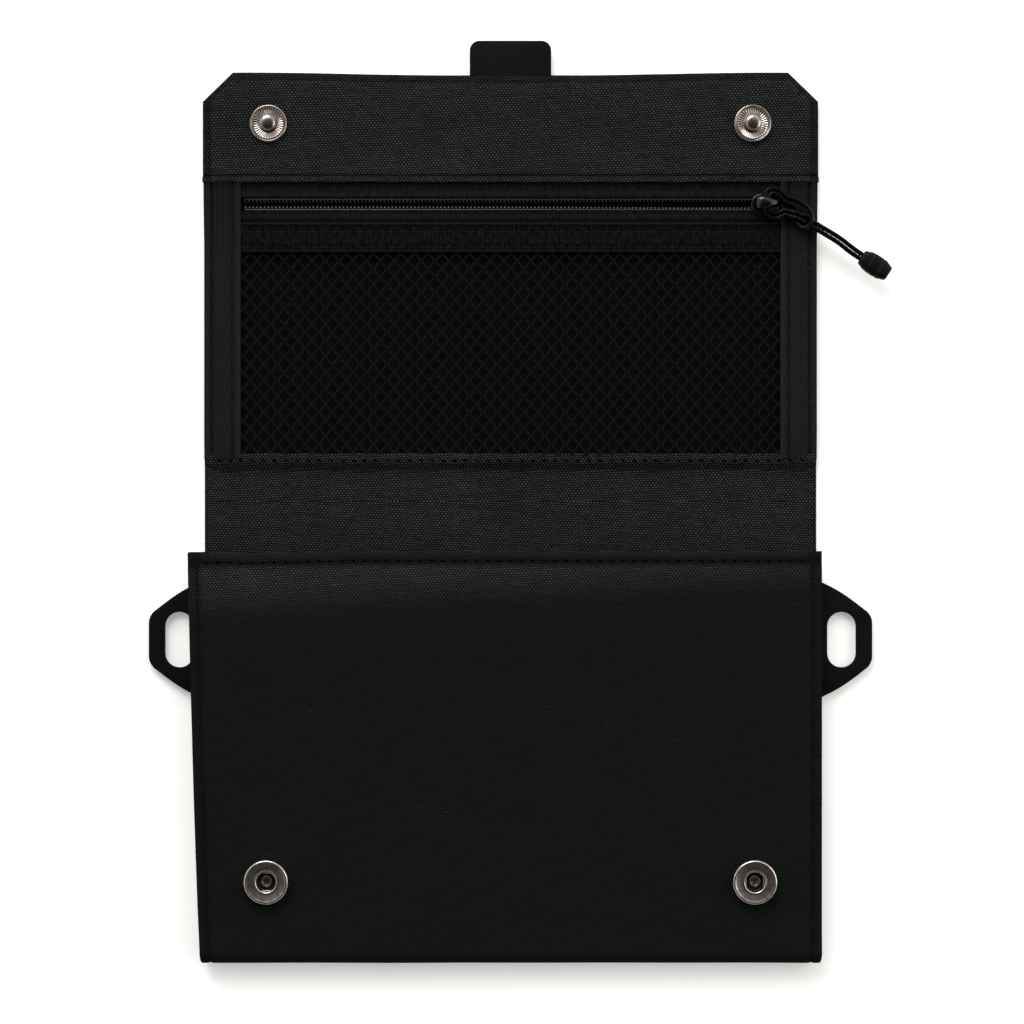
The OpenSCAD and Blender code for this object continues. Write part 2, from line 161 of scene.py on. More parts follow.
class Graph(Nodes):
    """One material and its nodes."""

    def __init__(self, name, **sockets):
        self.material = bpy.data.materials.new(name)
        self.material.use_nodes = True
        super().__init__(self.material.node_tree)
        self.shader = self.tree.nodes["Principled BSDF"]
        for key, value in sockets.items():
            self.shader.inputs[key.replace("_", " ")].default_value = value

    def flat(self):
        """Places along and across the cloth as it was cut, in millimetres."""
        node = self.tree.nodes.new("ShaderNodeUVMap")
        node.uv_map = "flat"
        return self.split(node.outputs[0])[:2]

    def place(self):
        """Places in the piece's own space, in millimetres."""
        node = self.tree.nodes.new("ShaderNodeTexCoord")
        return [number * (1 / MM) for number in self.split(node.outputs["Object"])]

    def attribute(self, name):
        """A number stored at the mesh's points, 0 on pieces that don't have it."""
        node = self.tree.nodes.new("ShaderNodeAttribute")
        node.attribute_name = name
        return Num(self, node.outputs["Fac"])

    def vector(self, x, y, z=0.0):
        node = self.tree.nodes.new("ShaderNodeCombineXYZ")
        for place, value in enumerate((x, y, z)):
            self.put(node.inputs[place], value)
        return node.outputs[0]

    def noise(self, vector, scale, detail=2.0):
        node = self.tree.nodes.new("ShaderNodeTexNoise")
        self.tree.links.new(vector, node.inputs["Vector"])
        node.inputs["Scale"].default_value = scale
        node.inputs["Detail"].default_value = detail
        return Num(self, node.outputs["Fac"])

    def random(self, vector):
        node = self.tree.nodes.new("ShaderNodeTexWhiteNoise")
        self.tree.links.new(vector, node.inputs["Vector"])
        return Num(self, node.outputs["Value"])

    def colour(self, dark, light, share):
        """A colour between dark and light, as the shader's base colour."""
        node = self.tree.nodes.new("ShaderNodeMix")
        node.data_type = "RGBA"
        self.put(node.inputs["Factor"], share)
        node.inputs["A"].default_value = (*dark, 1)
        node.inputs["B"].default_value = (*light, 1)
        self.tree.links.new(node.outputs["Result"], self.shader.inputs["Base Color"])

    def rough(self, value):
        self.put(self.shader.inputs["Roughness"], value)

    def bump(self, height, depth):
        """Relief of that depth in millimetres."""
        node = self.tree.nodes.new("ShaderNodeBump")
        node.inputs["Distance"].default_value = depth * MM
        node.inputs["Strength"].default_value = 1.0
        self.put(node.inputs["Height"], height)
        self.tree.links.new(node.outputs["Normal"], self.shader.inputs["Normal"])


def woven(name, dark, light, pitch=(0.53, 0.72), contrast=1.0, depth=0.05, rough=0.85, lively=None):
    """A plain-weave cloth: pale dashes in brick rows where one yarn floats over, dark gaps between.
    lively is where along the pouch's front the dashes grow paler, as (from, to, least share): a painted glint
    on the yarns towards the mouth."""
    g = Graph(name, Specular_IOR_Level=0.0, Sheen_Weight=0.035, Sheen_Roughness=0.3)
    u, v = g.flat()
    drift = g.noise(g.vector(u, v), 0.03) * 0.9
    u, v = (u + drift) / (2 * pitch[0]), (v - u * 0.05 + drift) / pitch[1]
    row = v.floor()
    dash = ((u + row * 0.5) * (2 * math.pi)).sin() * 0.5 + 0.5
    line = (v.fract() * math.pi).sin().do("MAXIMUM", 0.001)
    height = dash * (line ** 1.7)
    cell = (u + row * 0.5 + 0.25).floor()
    fleck = g.random(g.vector(cell, row, 7.0)) * 0.45 + 0.6
    tone = g.random(g.vector(cell, (v / 12).floor())) * 0.2
    tone = tone + (g.random(g.vector(row, (u / 9).floor())) * 0.3 + 0.75)
    patch = g.noise(g.vector(u, v), 0.05, 3.0) * 0.5 + 0.75
    lint = g.noise(g.vector(u, v), 0.7, 1.0).ramp(0.81, 0.84)
    # muted and paler come from each piece's tones: painted shade along seams and under edges, painted
    # highlights along folds and edges, and smooth zones where the pattern fades
    muted = g.attribute("muted") * -1 + 1
    # painted glint: the dashes grow paler towards the pouch's mouth
    if lively:
        paler = v.ramp(lively[0] / pitch[1], lively[1] / pitch[1])
        back = v.ramp((BACK_END - 4) / pitch[1], (BACK_END + 2) / pitch[1]) * -1 + 1
        patch = patch * (paler.do("MAXIMUM", back) * (1 - lively[2]) + lively[2])
    share = (height * fleck * tone + line * 0.04) * patch * muted * contrast + lint * 0.4
    g.colour(dark, light, (share + g.attribute("paler")).do("MAXIMUM", 0.0))
    g.rough(rough)
    g.bump(height, depth)
    return g.material


def twill(name, dark, light):
    """Woven tape: fine ribs along it, crossed by a slanting twill that is mirrored on the two sides."""
    g = Graph(name, Specular_IOR_Level=0.0, Sheen_Weight=0.035, Sheen_Roughness=0.3)
    u, v = g.flat()
    slant = ((u.abs() / 1.30 + v / 1.03) * (2 * math.pi)).sin() * 0.5 + 0.5
    ribs = (u * (2 * math.pi / 0.69)).sin() * 0.5 + 0.5
    dots = (v * (2 * math.pi / 0.62)).sin() * 0.5 + 0.5
    fuzz = g.noise(g.vector(u, v), 1.1, 3.0)
    upper = v.ramp(58.0, 74.0)
    body = (slant * 0.75 + ribs * 0.25) * (upper * -1 + 1) + (ribs * 0.6 + ribs * dots * 0.4) * upper
    # muted and paler carry painted shade and painted highlights from the strips' tones
    muted = g.attribute("muted") * -1 + 1
    g.colour(dark, light, (body * 0.85 + fuzz * 0.3 - 0.12) * muted + g.attribute("paler"))
    g.rough(0.8)
    g.bump(body + fuzz * 0.3, 0.06)
    return g.material


def taped(name, dark, light, pitch=0.62, rough=0.8):
    """Smooth tape with fine ribs across it."""
    g = Graph(name, Specular_IOR_Level=0.01)
    u, v = g.flat()
    rib = (u * (2 * math.pi / pitch)).sin() * 0.5 + 0.5
    thread = (v * (2 * math.pi / 0.36)).sin() * 0.5 + 0.5
    fuzz = g.noise(g.vector(u * 1.6, v * 0.5), 0.9, 4.0).ramp(0.3, 0.7)
    # muted and paler carry painted shade and painted highlights from the tapes' and ribbon's tones
    muted = g.attribute("muted") * -1 + 1
    body = (rib * 0.55 + 0.1) * (fuzz * 0.7 + 0.3) + thread * 0.08 + fuzz * 0.22
    g.colour(dark, light, body * muted + g.attribute("paler"))
    g.rough(fuzz * 0.2 + (rough - 0.1))
    g.bump(rib * 0.7 + thread * 0.3, 0.05)
    return g.material


def yarny(name, dark, light, rough=0.6, depth=0.03, gloss=0.03):
    """Twisted thread or knitted yarn."""
    g = Graph(name, Specular_IOR_Level=gloss)
    u, v = g.flat()
    twist = ((u * 2 + v * 5.5)).sin() * 0.5 + 0.5
    fuzz = g.noise(g.vector(u, v), 2.2, 2.0)
    g.colour(dark, light, twist * 0.6 + fuzz * 0.45)
    g.rough(fuzz * 0.2 + (rough - 0.1))
    g.bump(twist + fuzz * 0.4, depth)
    return g.material


def coated(name, tone, rough=0.42):
    """Smooth coated sheet with a faint grain and hairline scuffs."""
    g = Graph(name, Specular_IOR_Level=0.05)
    x, y, z = g.place()
    grain = g.noise(g.vector(x, y, z), 2.6, 4.0)
    cloud = g.noise(g.vector(x, y, z), 0.09, 3.0)
    scuff = g.noise(g.vector(x * 0.35, y * 5.0, z), 0.8, 2.0).ramp(0.66, 0.74)
    g.colour(tone, [c * 2.4 + 0.0046 for c in tone], grain.ramp(0.3, 0.7) * 0.5 + cloud * 0.35 + scuff * 0.2)
    g.rough(cloud * 0.14 + (grain * 0.1 + (rough - 0.12)))
    g.bump(grain, 0.02)
    return g.material


def metal(name, tone, rough=0.2, worn=0.12, scale=1.0):
    """Plated or bare metal with fine scratches and a duller film in places."""
    g = Graph(name, Metallic=1.0)
    x, y, z = g.place()
    film = g.noise(g.vector(x, y, z), 0.5 * scale, 4.0)
    hair = g.noise(g.vector(x * 0.4, y * 7.0, z * 3.0), 1.2, 3.0)
    g.colour([c * 0.72 for c in tone], tone, film.ramp(0.35, 0.62))
    g.rough(film * worn + (hair * 0.1 + (rough - 0.06)))
    g.bump(hair, 0.003)
    return g.material


def lacquered(name, tone):
    """Glossy black lacquer over a die casting, with rubbed patches."""
    g = Graph(name, Coat_Weight=0.35, Coat_Roughness=0.07, Specular_IOR_Level=0.3)
    x, y, z = g.place()
    cast = g.noise(g.vector(x, y, z), 1.4, 3.0)
    rub = g.noise(g.vector(x, y, z), 0.7, 4.0).ramp(0.56, 0.7)
    g.colour(tone, [c * 2.2 for c in tone], rub)
    g.rough(cast * 0.12 + 0.06)
    g.bump(cast, 0.008)
    return g.material


def moulded(name, tone, rough, gloss):
    """Matt moulded plastic with a fine spark-eroded grain."""
    g = Graph(name, Specular_IOR_Level=gloss)
    x, y, z = g.place()
    grain = g.noise(g.vector(x, y, z), 4.5, 3.0)
    cloud = g.noise(g.vector(x, y, z), 0.3, 2.0)
    g.colour(tone, [c * 1.8 for c in tone], grain * 0.5 + cloud * 0.4)
    g.rough(grain * 0.16 + (rough - 0.08))
    g.bump(grain, 0.01)
    return g.material


CLOTH = woven("shell_cloth", (0.0022, 0.0027, 0.0027), (0.051, 0.056, 0.055))
# the front's dashes grow paler towards the mouth, a painted glint
FRONT = woven("front_cloth", (0.0050, 0.0060, 0.0057), (0.055, 0.061, 0.059), lively=(253.0, 268.0, 0.17))
LINING = woven("lining_cloth", (0.0030, 0.0037, 0.0037), (0.0100, 0.0114, 0.0111), contrast=0.9, depth=0.03,
               rough=0.9)
TWILL = twill("side_tape", (0.0012, 0.0015, 0.0015), (0.0225, 0.0245, 0.0243))
TAPE = taped("zip_tape", (0.0010, 0.0015, 0.0015), (0.0104, 0.0131, 0.0124))
RIBBED = taped("ribbed_ribbon", (0.0005, 0.0008, 0.0008), (0.0108, 0.0130, 0.0123), 0.80, 0.75)
NET = yarny("pocket_net", (0.0030, 0.0037, 0.0037), (0.0090, 0.0104, 0.0101), 0.7, 0.04, 0.0)
THREAD = yarny("sewing_thread", (0.0003, 0.0004, 0.0004), (0.0012, 0.0014, 0.0014), 0.7, 0.02, 0.0)
FLAP_THREAD = yarny("pale_thread", (0.0030, 0.0034, 0.0034), (0.0160, 0.0175, 0.0172), 0.8, 0.02, 0.0)
CORD = yarny("braided_cord", (0.0004, 0.0006, 0.0006), (0.0012, 0.0016, 0.0016), 0.22, 0.004, 0.08)
SHEET = coated("coated_sheet", (0.0008, 0.0016, 0.0015), 0.5)
COIL = moulded("zip_coil", (0.0016, 0.0018, 0.0018), 0.24, 0.7)
# the upper coil's copy of the coil look, darker and duller: painted shade from the upper tape and band above
# it
SHADED_COIL = moulded("shaded_coil", (0.0010, 0.0012, 0.0012), 0.4, 0.22)
END = moulded("cord_end", (0.0014, 0.0017, 0.0017), 0.35, 0.12)
NICKEL = metal("worn_nickel", (0.34, 0.30, 0.27), 0.12, 0.04)
PINK_NICKEL = metal("socket_nickel", (0.57, 0.50, 0.46), 0.2, 0.07)
CURL = metal("post_end", (0.12, 0.11, 0.11), 0.25)
# painted shade: the metal inside the sockets' mouths is darkened to stand for the shade in them
SNAP_SHADE_METAL = metal("shaded_inside_of_snap", (0.035, 0.034, 0.034), 0.3, 0.1)
WIRE = metal("spring_wire", (0.50, 0.47, 0.44), 0.25)
BLACK_METAL = lacquered("slider_lacquer", (0.0010, 0.0011, 0.0012))


# Meshes

def smooth(t):
    t = np.clip(t, 0, 1)
    return t * t * (3 - 2 * t)


def run_along(line):
    """The way along a line of points, from 0 at its first."""
    return np.concatenate([[0], np.cumsum(np.linalg.norm(np.diff(line, axis=0), axis=1))])


def between_rings(rings, sides, first=0):
    """Four-sided faces between neighbouring rings of points, the first point's number being first."""
    i, j = np.meshgrid(np.arange(rings - 1), np.arange(sides), indexing="ij")
    n = (j + 1) % sides
    faces = np.stack([i * sides + j, i * sides + n, (i + 1) * sides + n, (i + 1) * sides + j], -1) + first
    return faces.reshape(-1, 4).tolist()


def ripple(x, y, size, seed):
    """A gentle unevenness between about -1 and 1 whose waves are about size long."""
    total = 0.0
    for k in range(5):
        turn = seed * 1.7 + k * 2.4
        wave = 2 * math.pi / (size * (0.7 + 0.22 * k))
        total = total + np.sin((x * math.cos(turn) + y * math.sin(turn)) * wave + seed + k * 1.3)
    return total / 3.2


def piece(name, points, faces, body, material, slot=None, replaces=(), flat=None, tones=None):
    """A new mesh of points in millimetres that rides on a body. tones are numbers at its points, by name."""
    mesh = bpy.data.meshes.new(name)
    mesh.from_pydata((np.asarray(points) * MM).tolist(), [], [list(map(int, f)) for f in faces])
    mesh.update()
    if flat is not None:
        layer = mesh.uv_layers.new(name="flat")
        corner = np.zeros(len(mesh.loops), np.int32)
        mesh.loops.foreach_get("vertex_index", corner)
        layer.uv.foreach_set("vector", np.asarray(flat, np.float32)[corner].ravel())
    mesh.materials.append(material)
    mesh.polygons.foreach_set("use_smooth", [True] * len(mesh.polygons))
    for key, values in (tones or {}).items():
        mesh.attributes.new(key, "FLOAT", "POINT").data.foreach_set("value", np.asarray(values, np.float32))
    thing = bpy.data.objects.new(name, mesh)
    bpy.context.scene.collection.objects.link(thing)
    if isinstance(body, str):
        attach(thing, body)
    else:
        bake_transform(thing)
    if replaces:
        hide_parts(*replaces)
    return thing


FOLD_LOW = ("pouch", "spine", -CREASE_Y)
FOLD_HIGH = ("spine", "flap", CREASE_Y)


def spots(length, coarse, edge, fine=(), reach=0.9):
    """Places from 0 to length: coarse steps, closer ones at both ends and round each fine place."""
    found = set(np.linspace(0, length, max(2, int(round(length / coarse)) + 1)).tolist())
    near = [0.04, 0.14, 0.3, 0.55, 1.0, 1.6]
    found.update(edge * k for k in near)
    found.update(length - edge * k for k in near)
    for place in fine:
        found.update(place + reach * k for k in (-1, -0.62, -0.3, 0, 0.3, 0.62, 1))
    kept = [0.0]
    for place in sorted(p for p in found if 0 < p < length):
        if place - kept[-1] > 0.03:
            kept.append(place)
    if length - kept[-1] < 0.02:
        kept.pop()
    return np.array(kept + [length])


class Sheet:
    """A closed sheet of cloth. It follows a line of (y, z) points and spans left(v) to right(v) in x,
    v being the way along the line. top and bottom are its faces' heights over the line, and sway(x, v)
    moves it along y."""

    def __init__(self, line, left, right, top, bottom, edge=None, cross=False, ends=(True, True), sway=None):
        line = np.asarray(line, float)
        self.along = run_along(line)
        self.line, self.length = line, self.along[-1]
        self.left = left if callable(left) else (lambda v: left + 0 * v)
        self.right = right if callable(right) else (lambda v: right + 0 * v)
        self.top = top if callable(top) else (lambda x, v: top + 0 * x + 0 * v)
        self.bottom = bottom if callable(bottom) else (lambda x, v: bottom + 0 * x + 0 * v)
        self.edge, self.cross, self.ends, self.sway = edge, cross, ends, sway

    def middle(self, v):
        """The line's point and normal at v."""
        def at(w):
            return np.stack([np.interp(w, self.along, self.line[:, k]) for k in (0, 1)], -1)

        step = at(np.minimum(v + 0.15, self.length)) - at(np.maximum(v - 0.15, 0))
        step = step / np.linalg.norm(step, axis=-1, keepdims=True)
        return at(v), np.stack([-step[..., 1], step[..., 0]], -1)

    def surface(self, x, v, side=1, rounded=True):
        """Points on one face: side is 1 for the top and -1 for the bottom."""
        centre, normal = self.middle(v)
        top, bottom = self.top(x, v), self.bottom(x, v)
        half = (top - bottom) / 2
        if rounded:
            edge = self.edge or float(np.median(half))
            gap = np.minimum(x - self.left(v), self.right(v) - x)
            if self.ends[0]:
                gap = np.minimum(gap, v)
            if self.ends[1]:
                gap = np.minimum(gap, self.length - v)
            share = 1 - np.clip(gap / edge, 0, 1)
            half = half * np.sqrt(np.maximum(1 - share ** 2, 0))
        height = (top + bottom) / 2 + side * half
        out = centre + normal * height[..., None]
        if self.cross:
            return np.stack([out[..., 0], x + 0 * v, out[..., 1]], -1)
        shift = self.sway(x, v) if self.sway else 0.0
        return np.stack([x + 0 * v, out[..., 0] + shift, out[..., 1]], -1)

    def mesh(self, columns, rows):
        """Points, faces and flat places. columns and rows run from 0 to the width and the length."""
        width = columns[-1]
        share = columns / width
        v = rows[:, None] + 0 * share[None, :]
        x = self.left(v) + share[None, :] * (self.right(v) - self.left(v))
        ny, nx = v.shape
        up, down = self.surface(x, v, 1), self.surface(x, v, -1)
        index = np.arange(ny * nx).reshape(ny, nx)
        under = index + ny * nx
        rim = np.zeros((ny, nx), bool)
        rim[:, 0] = rim[:, -1] = True
        if self.ends[0]:
            rim[0] = True
        if self.ends[1]:
            rim[-1] = True
        under = np.where(rim, index, under)

        def quads(grid, flip):
            a, b, c, d = grid[:-1, :-1], grid[:-1, 1:], grid[1:, 1:], grid[1:, :-1]
            order = (a, d, c, b) if flip else (a, b, c, d)
            return np.stack(order, -1).reshape(-1, 4)

        faces = [*quads(index, self.cross), *quads(under, not self.cross)]
        for row, turned in ((0, False), (ny - 1, True)):
            if self.ends[0 if row == 0 else 1]:
                continue
            for k in range(nx - 1):
                face = [index[row, k], under[row, k], under[row, k + 1], index[row, k + 1]]
                face = [f for i, f in enumerate(face) if f not in face[:i]]
                faces.append(face if turned == self.cross else face[::-1])
        points = np.concatenate([up.reshape(-1, 3), down.reshape(-1, 3)])
        flat = np.concatenate([np.stack([x, v], -1).reshape(-1, 2)] * 2)
        used = np.zeros(len(points), bool)
        for face in faces:
            used[list(face)] = True
        new = np.cumsum(used) - 1
        faces = [[new[i] for i in face] for face in faces]
        return points[used], faces, flat[used]

    def build(self, name, body, material, coarse=1.4, fine_x=(), fine_v=(), edge=None, tones=None, **words):
        """The sheet as a piece. fine_x are distances in from either side, fine_v places along it.
        tones(x, v) gives numbers for its material by name."""
        width = float(self.right(np.array(self.length / 2)) - self.left(np.array(self.length / 2)))
        edge = edge or self.edge or 0.4
        both = [*fine_x, *(width - k for k in fine_x)]
        points, faces, flat = self.mesh(
            spots(width, coarse, edge, both), spots(self.length, coarse, edge, fine_v))
        if tones:
            words["tones"] = {key: values + 0 * flat[:, 0] for key, values in tones(*flat.T).items()}
        return piece(name, points, faces, body, material, flat=flat, **words)


def near(distance, width):
    """1 at a line, falling to 0 within about width of it."""
    return np.exp(-(distance / width) ** 2)


def groove(distance, depth=0.22, width=0.55):
    """How far cloth sinks at a distance from a row of stitches."""
    return depth * near(distance, width)


def stitches(sheet, way, side=1, length=1.9, wide=0.62, high=0.2, sunk=0.0):
    """Threads along a way of (x, v) points on a sheet: points, faces and flat places."""
    way = np.asarray(way, float)
    run = run_along(way)
    count = max(1, int(run[-1] / STITCH))
    gap = run[-1] / count
    places = (np.arange(count) + 0.5) * gap
    ring, sides = 7, 6
    points, faces, flat = [], [], []
    for k, place in enumerate(places):
        steps = place + np.linspace(-0.5, 0.5, ring) * length
        x, v = (np.interp(steps, run, way[:, i]) for i in (0, 1))
        slant = np.linspace(-0.5, 0.5, ring) * 0.55
        going = np.array([np.interp(place + 0.1, run, way[:, i]) - np.interp(place - 0.1, run, way[:, i])
                          for i in (0, 1)]) / 0.2
        x, v = x + slant * going[1], v - slant * going[0]
        spine = sheet.surface(x, v, side, rounded=False)
        ahead = np.gradient(spine, axis=0)
        ahead /= np.linalg.norm(ahead, axis=1, keepdims=True)
        across = sheet.surface(x + 0.05 * ahead[:, 1], v - 0.05 * ahead[:, 0], side, rounded=False) - spine
        across -= (across * ahead).sum(1, keepdims=True) * ahead
        across /= np.linalg.norm(across, axis=1, keepdims=True)
        normal = np.cross(across, ahead)
        normal *= np.sign(normal[:, 2:3]) * side
        arch = 1 - np.linspace(-1, 1, ring) ** 4
        first = len(points)
        for i in range(ring):
            size = 0.25 + 0.75 * arch[i]
            for j in range(sides):
                turn = 2 * math.pi * j / sides
                points.append(
                    spine[i] + across[i] * math.cos(turn) * wide / 2 * size
                    + normal[i] * (math.sin(turn) * high / 2 * size - (1 - arch[i]) * high - sunk))
                flat.append((steps[i], j / sides))
        faces.extend(between_rings(ring, sides, first))
        faces.append([first + j for j in range(sides)][::-1])
        faces.append([first + (ring - 1) * sides + j for j in range(sides)])
    return np.array(points), faces, np.array(flat)


def joined(parts):
    """Several (points, faces, flat) as one."""
    points, faces, flat, base = [], [], [], 0
    for p, f, t in parts:
        points.append(p)
        flat.append(t)
        faces.extend([[i + base for i in face] for face in f])
        base += len(p)
    return np.concatenate(points), faces, np.concatenate(flat)


def sew(name, body, rows, material=None, **words):
    """One piece with all the stitches of several (sheet, way, side) rows."""
    points, faces, flat = joined([stitches(*row, **words) for row in rows])
    return piece(name, points, faces, body, material or THREAD, flat=flat)


def lathe(profile, centre, segments=96, lift=None, rounds=2):
    """A turned solid from (radius, height) points, which start and end on the axis."""
    line = np.array(profile, float)
    for _ in range(rounds):
        a, b = line[:-1], line[1:]
        cut = np.stack([a * 0.75 + b * 0.25, a * 0.25 + b * 0.75], 1).reshape(-1, 2)
        line = np.concatenate([line[:1], cut, line[-1:]])
    line[:, 0] = np.maximum(line[:, 0], 0)
    inner = line[1:-1]
    turn = np.linspace(0, 2 * math.pi, segments, endpoint=False)
    r, t = np.meshgrid(inner[:, 0], turn, indexing="ij")
    z = inner[:, 1][:, None] + 0 * t
    if lift:
        z = z + lift(r, z, t)
    points = np.stack([r * np.cos(t), r * np.sin(t), z], -1).reshape(-1, 3)
    points = np.concatenate([points, [[0, 0, line[0, 1]], [0, 0, line[-1, 1]]]]) + np.asarray(centre)
    rings = len(inner)
    faces = between_rings(rings, segments)
    low, high = len(points) - 2, len(points) - 1
    for j in range(segments):
        n = (j + 1) % segments
        faces.append((low, n, j))
        faces.append((high, (rings - 1) * segments + j, (rings - 1) * segments + n))
    return points, faces, points[:, :2]


def curve_through(route, step):
    """Points about step apart on a smooth curve through a route."""
    route = np.asarray(route, float)
    ends = np.concatenate([[2 * route[0] - route[1]], route, [2 * route[-1] - route[-2]]])
    fine = []
    for p0, p1, p2, p3 in zip(ends, ends[1:], ends[2:], ends[3:]):
        t = np.linspace(0, 1, 16, endpoint=False)[:, None]
        fine.append(0.5 * (2 * p1 + (p2 - p0) * t + (2 * p0 - 5 * p1 + 4 * p2 - p3) * t ** 2
                           + (3 * p1 - p0 - 3 * p2 + p3) * t ** 3))
    fine = np.concatenate([*fine, route[-1:]])
    run = run_along(fine)
    at = np.linspace(0, run[-1], int(run[-1] / step) + 1)
    return np.stack([np.interp(at, run, fine[:, k]) for k in range(3)], -1), run[-1]


def tube(line, radius, sides, up=(0, 0, 1), squash=1.0):
    """A tube along a line; radius may be a function of the way along it and the turn round it."""
    line = np.asarray(line, float)
    ahead = np.gradient(line, axis=0)
    ahead /= np.linalg.norm(ahead, axis=1, keepdims=True)
    side = np.cross(np.asarray(up, float), ahead)
    side /= np.maximum(np.linalg.norm(side, axis=1, keepdims=True), 1e-9)
    top = np.cross(ahead, side)
    run = run_along(line)
    turn = np.linspace(0, 2 * math.pi, sides, endpoint=False)
    s, t = np.meshgrid(run, turn, indexing="ij")
    r = radius(s, t) if callable(radius) else radius + 0 * s
    points = (line[:, None] + side[:, None] * (r * np.cos(t))[..., None]
              + top[:, None] * (squash * r * np.sin(t))[..., None]).reshape(-1, 3)
    faces = between_rings(len(line), sides)
    faces.append(list(range(sides))[::-1])
    faces.append([(len(line) - 1) * sides + k for k in range(sides)])
    return points, faces, np.stack([s, t * 0.3], -1).reshape(-1, 2)


def plate(name, outline, holes, z0, z1, round_edge, body, material, **words):
    """A flat plate from closed outlines, with its edges rounded."""
    data = bpy.data.curves.new(name, "CURVE")
    data.dimensions, data.fill_mode = "2D", "BOTH"
    data.extrude = ((z1 - z0) / 2 - round_edge) * MM
    data.bevel_depth, data.bevel_resolution, data.offset = round_edge * MM, 3, -round_edge * MM
    for loop in [outline, *holes]:
        spline = data.splines.new("POLY")
        spline.points.add(len(loop) - 1)
        for point, (x, y) in zip(spline.points, loop):
            point.co = (x * MM, y * MM, 0, 1)
        spline.use_cyclic_u = True
    thing = bpy.data.objects.new(name, data)
    bpy.context.scene.collection.objects.link(thing)
    bpy.context.view_layer.update()
    mesh = bpy.data.meshes.new_from_object(thing.evaluated_get(bpy.context.evaluated_depsgraph_get()))
    bpy.data.objects.remove(thing)
    bpy.data.curves.remove(data)
    points = np.array([v.co for v in mesh.vertices]) / MM + (0, 0, (z0 + z1) / 2)
    faces = [list(p.vertices) for p in mesh.polygons]
    bpy.data.meshes.remove(mesh)
    made = piece(name, points, faces, body, material, flat=points[:, :2], **words)
    tidy_edges(made)
    return made


def tidy_edges(thing, angle=40):
    """Joins doubled points, and keeps edges sharper than an angle sharp."""
    work = bmesh.new()
    work.from_mesh(thing.data)
    bmesh.ops.remove_doubles(work, verts=work.verts, dist=1e-6)
    bmesh.ops.recalc_face_normals(work, faces=work.faces)
    work.to_mesh(thing.data)
    work.free()
    thing.data.polygons.foreach_set("use_smooth", [True] * len(thing.data.polygons))
    thing.data.set_sharp_from_angle(angle=math.radians(angle))


def arc(cx, cy, r, start, end, count=14):
    return [(cx + r * math.cos(math.radians(a)), cy + r * math.sin(math.radians(a)))
            for a in np.linspace(start, end, count)]


# Puller: a round cord hitched to the slider's bridge, and its moulded end

CORD_D = 1.4
CORD_ROUTE = [
    (29.5, -15.7, 0), (26.6, -13.7, 0), (23.4, -11.1, 0), (20.2, -8.4, 0), (17.2, -5.9, -0.3),
    (15.2, -4.3, -0.7), (13.4, -3.3, -0.4), (12.2, -3, 0.1), (10.3, -2.9, 0.7), (8.2, -3.1, 0.3),
    (5.8, -3.2, 0), (3.6, -3.3, 0), (1.9, -2.9, 0), (0.9, -1.9, 0), (0.7, -0.5, 0),
    (0.7, 0.8, 0), (0.9, 2, 0), (1.9, 2.9, 0), (3.6, 3.1, 0), (5.8, 2.6, 0),
    (8, 1.4, -0.2), (9.6, -0.2, -0.5), (10.4, -2.2, -0.8), (10.4, -4.4, -0.8), (11.2, -6.2, -0.3),
    (12.7, -7, 0.3), (14.3, -6.3, 0.7), (15, -4.8, 0.8), (14.9, -3, 0.8), (14, -1.2, 0.6),
    (12, 0.7, 0.3), (9.2, 2.5, 0), (6.4, 4.1, 0), (3.4, 4.6, 0), (1, 4.3, 0),
    (-0.4, 2.9, 0), (-0.7, 1.2, 0), (-0.7, -0.8, 0), (-0.4, -2.6, 0), (0.9, -4.2, 0),
    (3.2, -4.8, 0), (5.8, -4.7, 0), (8.2, -4.6, 0.3), (10.3, -4.4, 0.7), (12.3, -4.7, 0.1),
    (14.1, -5.8, -0.7), (16.3, -7.1, -0.3), (19.3, -9.6, 0), (22.5, -12.3, 0), (25.7, -14.9, 0),
    (28.7, -16.9, 0),
]
PULL = np.array([SLIDER[0], SLIDER[1], 6.0])  # middle of the bridge's eye
END_AT = np.array([29.1, -16.3, 0.0])
END_TURN = math.radians(-33)
END_L, END_W, END_T, END_FACE = 9.8, 6.4, 3.4, 4.6


def laid(place):
    """A place on the hitch as it lies: its legs are drawn together, and it is pulled towards the tails."""
    x, y, z = place
    along = 0.79 * x - 0.61 * y
    close = float(smooth((x - 2.6) / 3) * (1 - 0.75 * smooth((x - 6) / 5)))
    drop = 1.9 * close * float(smooth((y + 1.5) / 3) * (1 - smooth((x - 11) / 5)))
    lift = 1.3 * close * float(smooth((-y - 1.5) / 1.2) * (1 - smooth((x - 9) / 4)))
    short = 0.07 * float(smooth((x - 3) / 8) * (1 - smooth((along - 14) / 10)))
    lean = math.radians(-3) * float(smooth((x - 1.5) / 6) * (1 - smooth((along - 13) / 14)))
    x, y = x * (1 - short), y - drop + lift
    return (x * math.cos(lean) - y * math.sin(lean), x * math.sin(lean) + y * math.cos(lean), z)


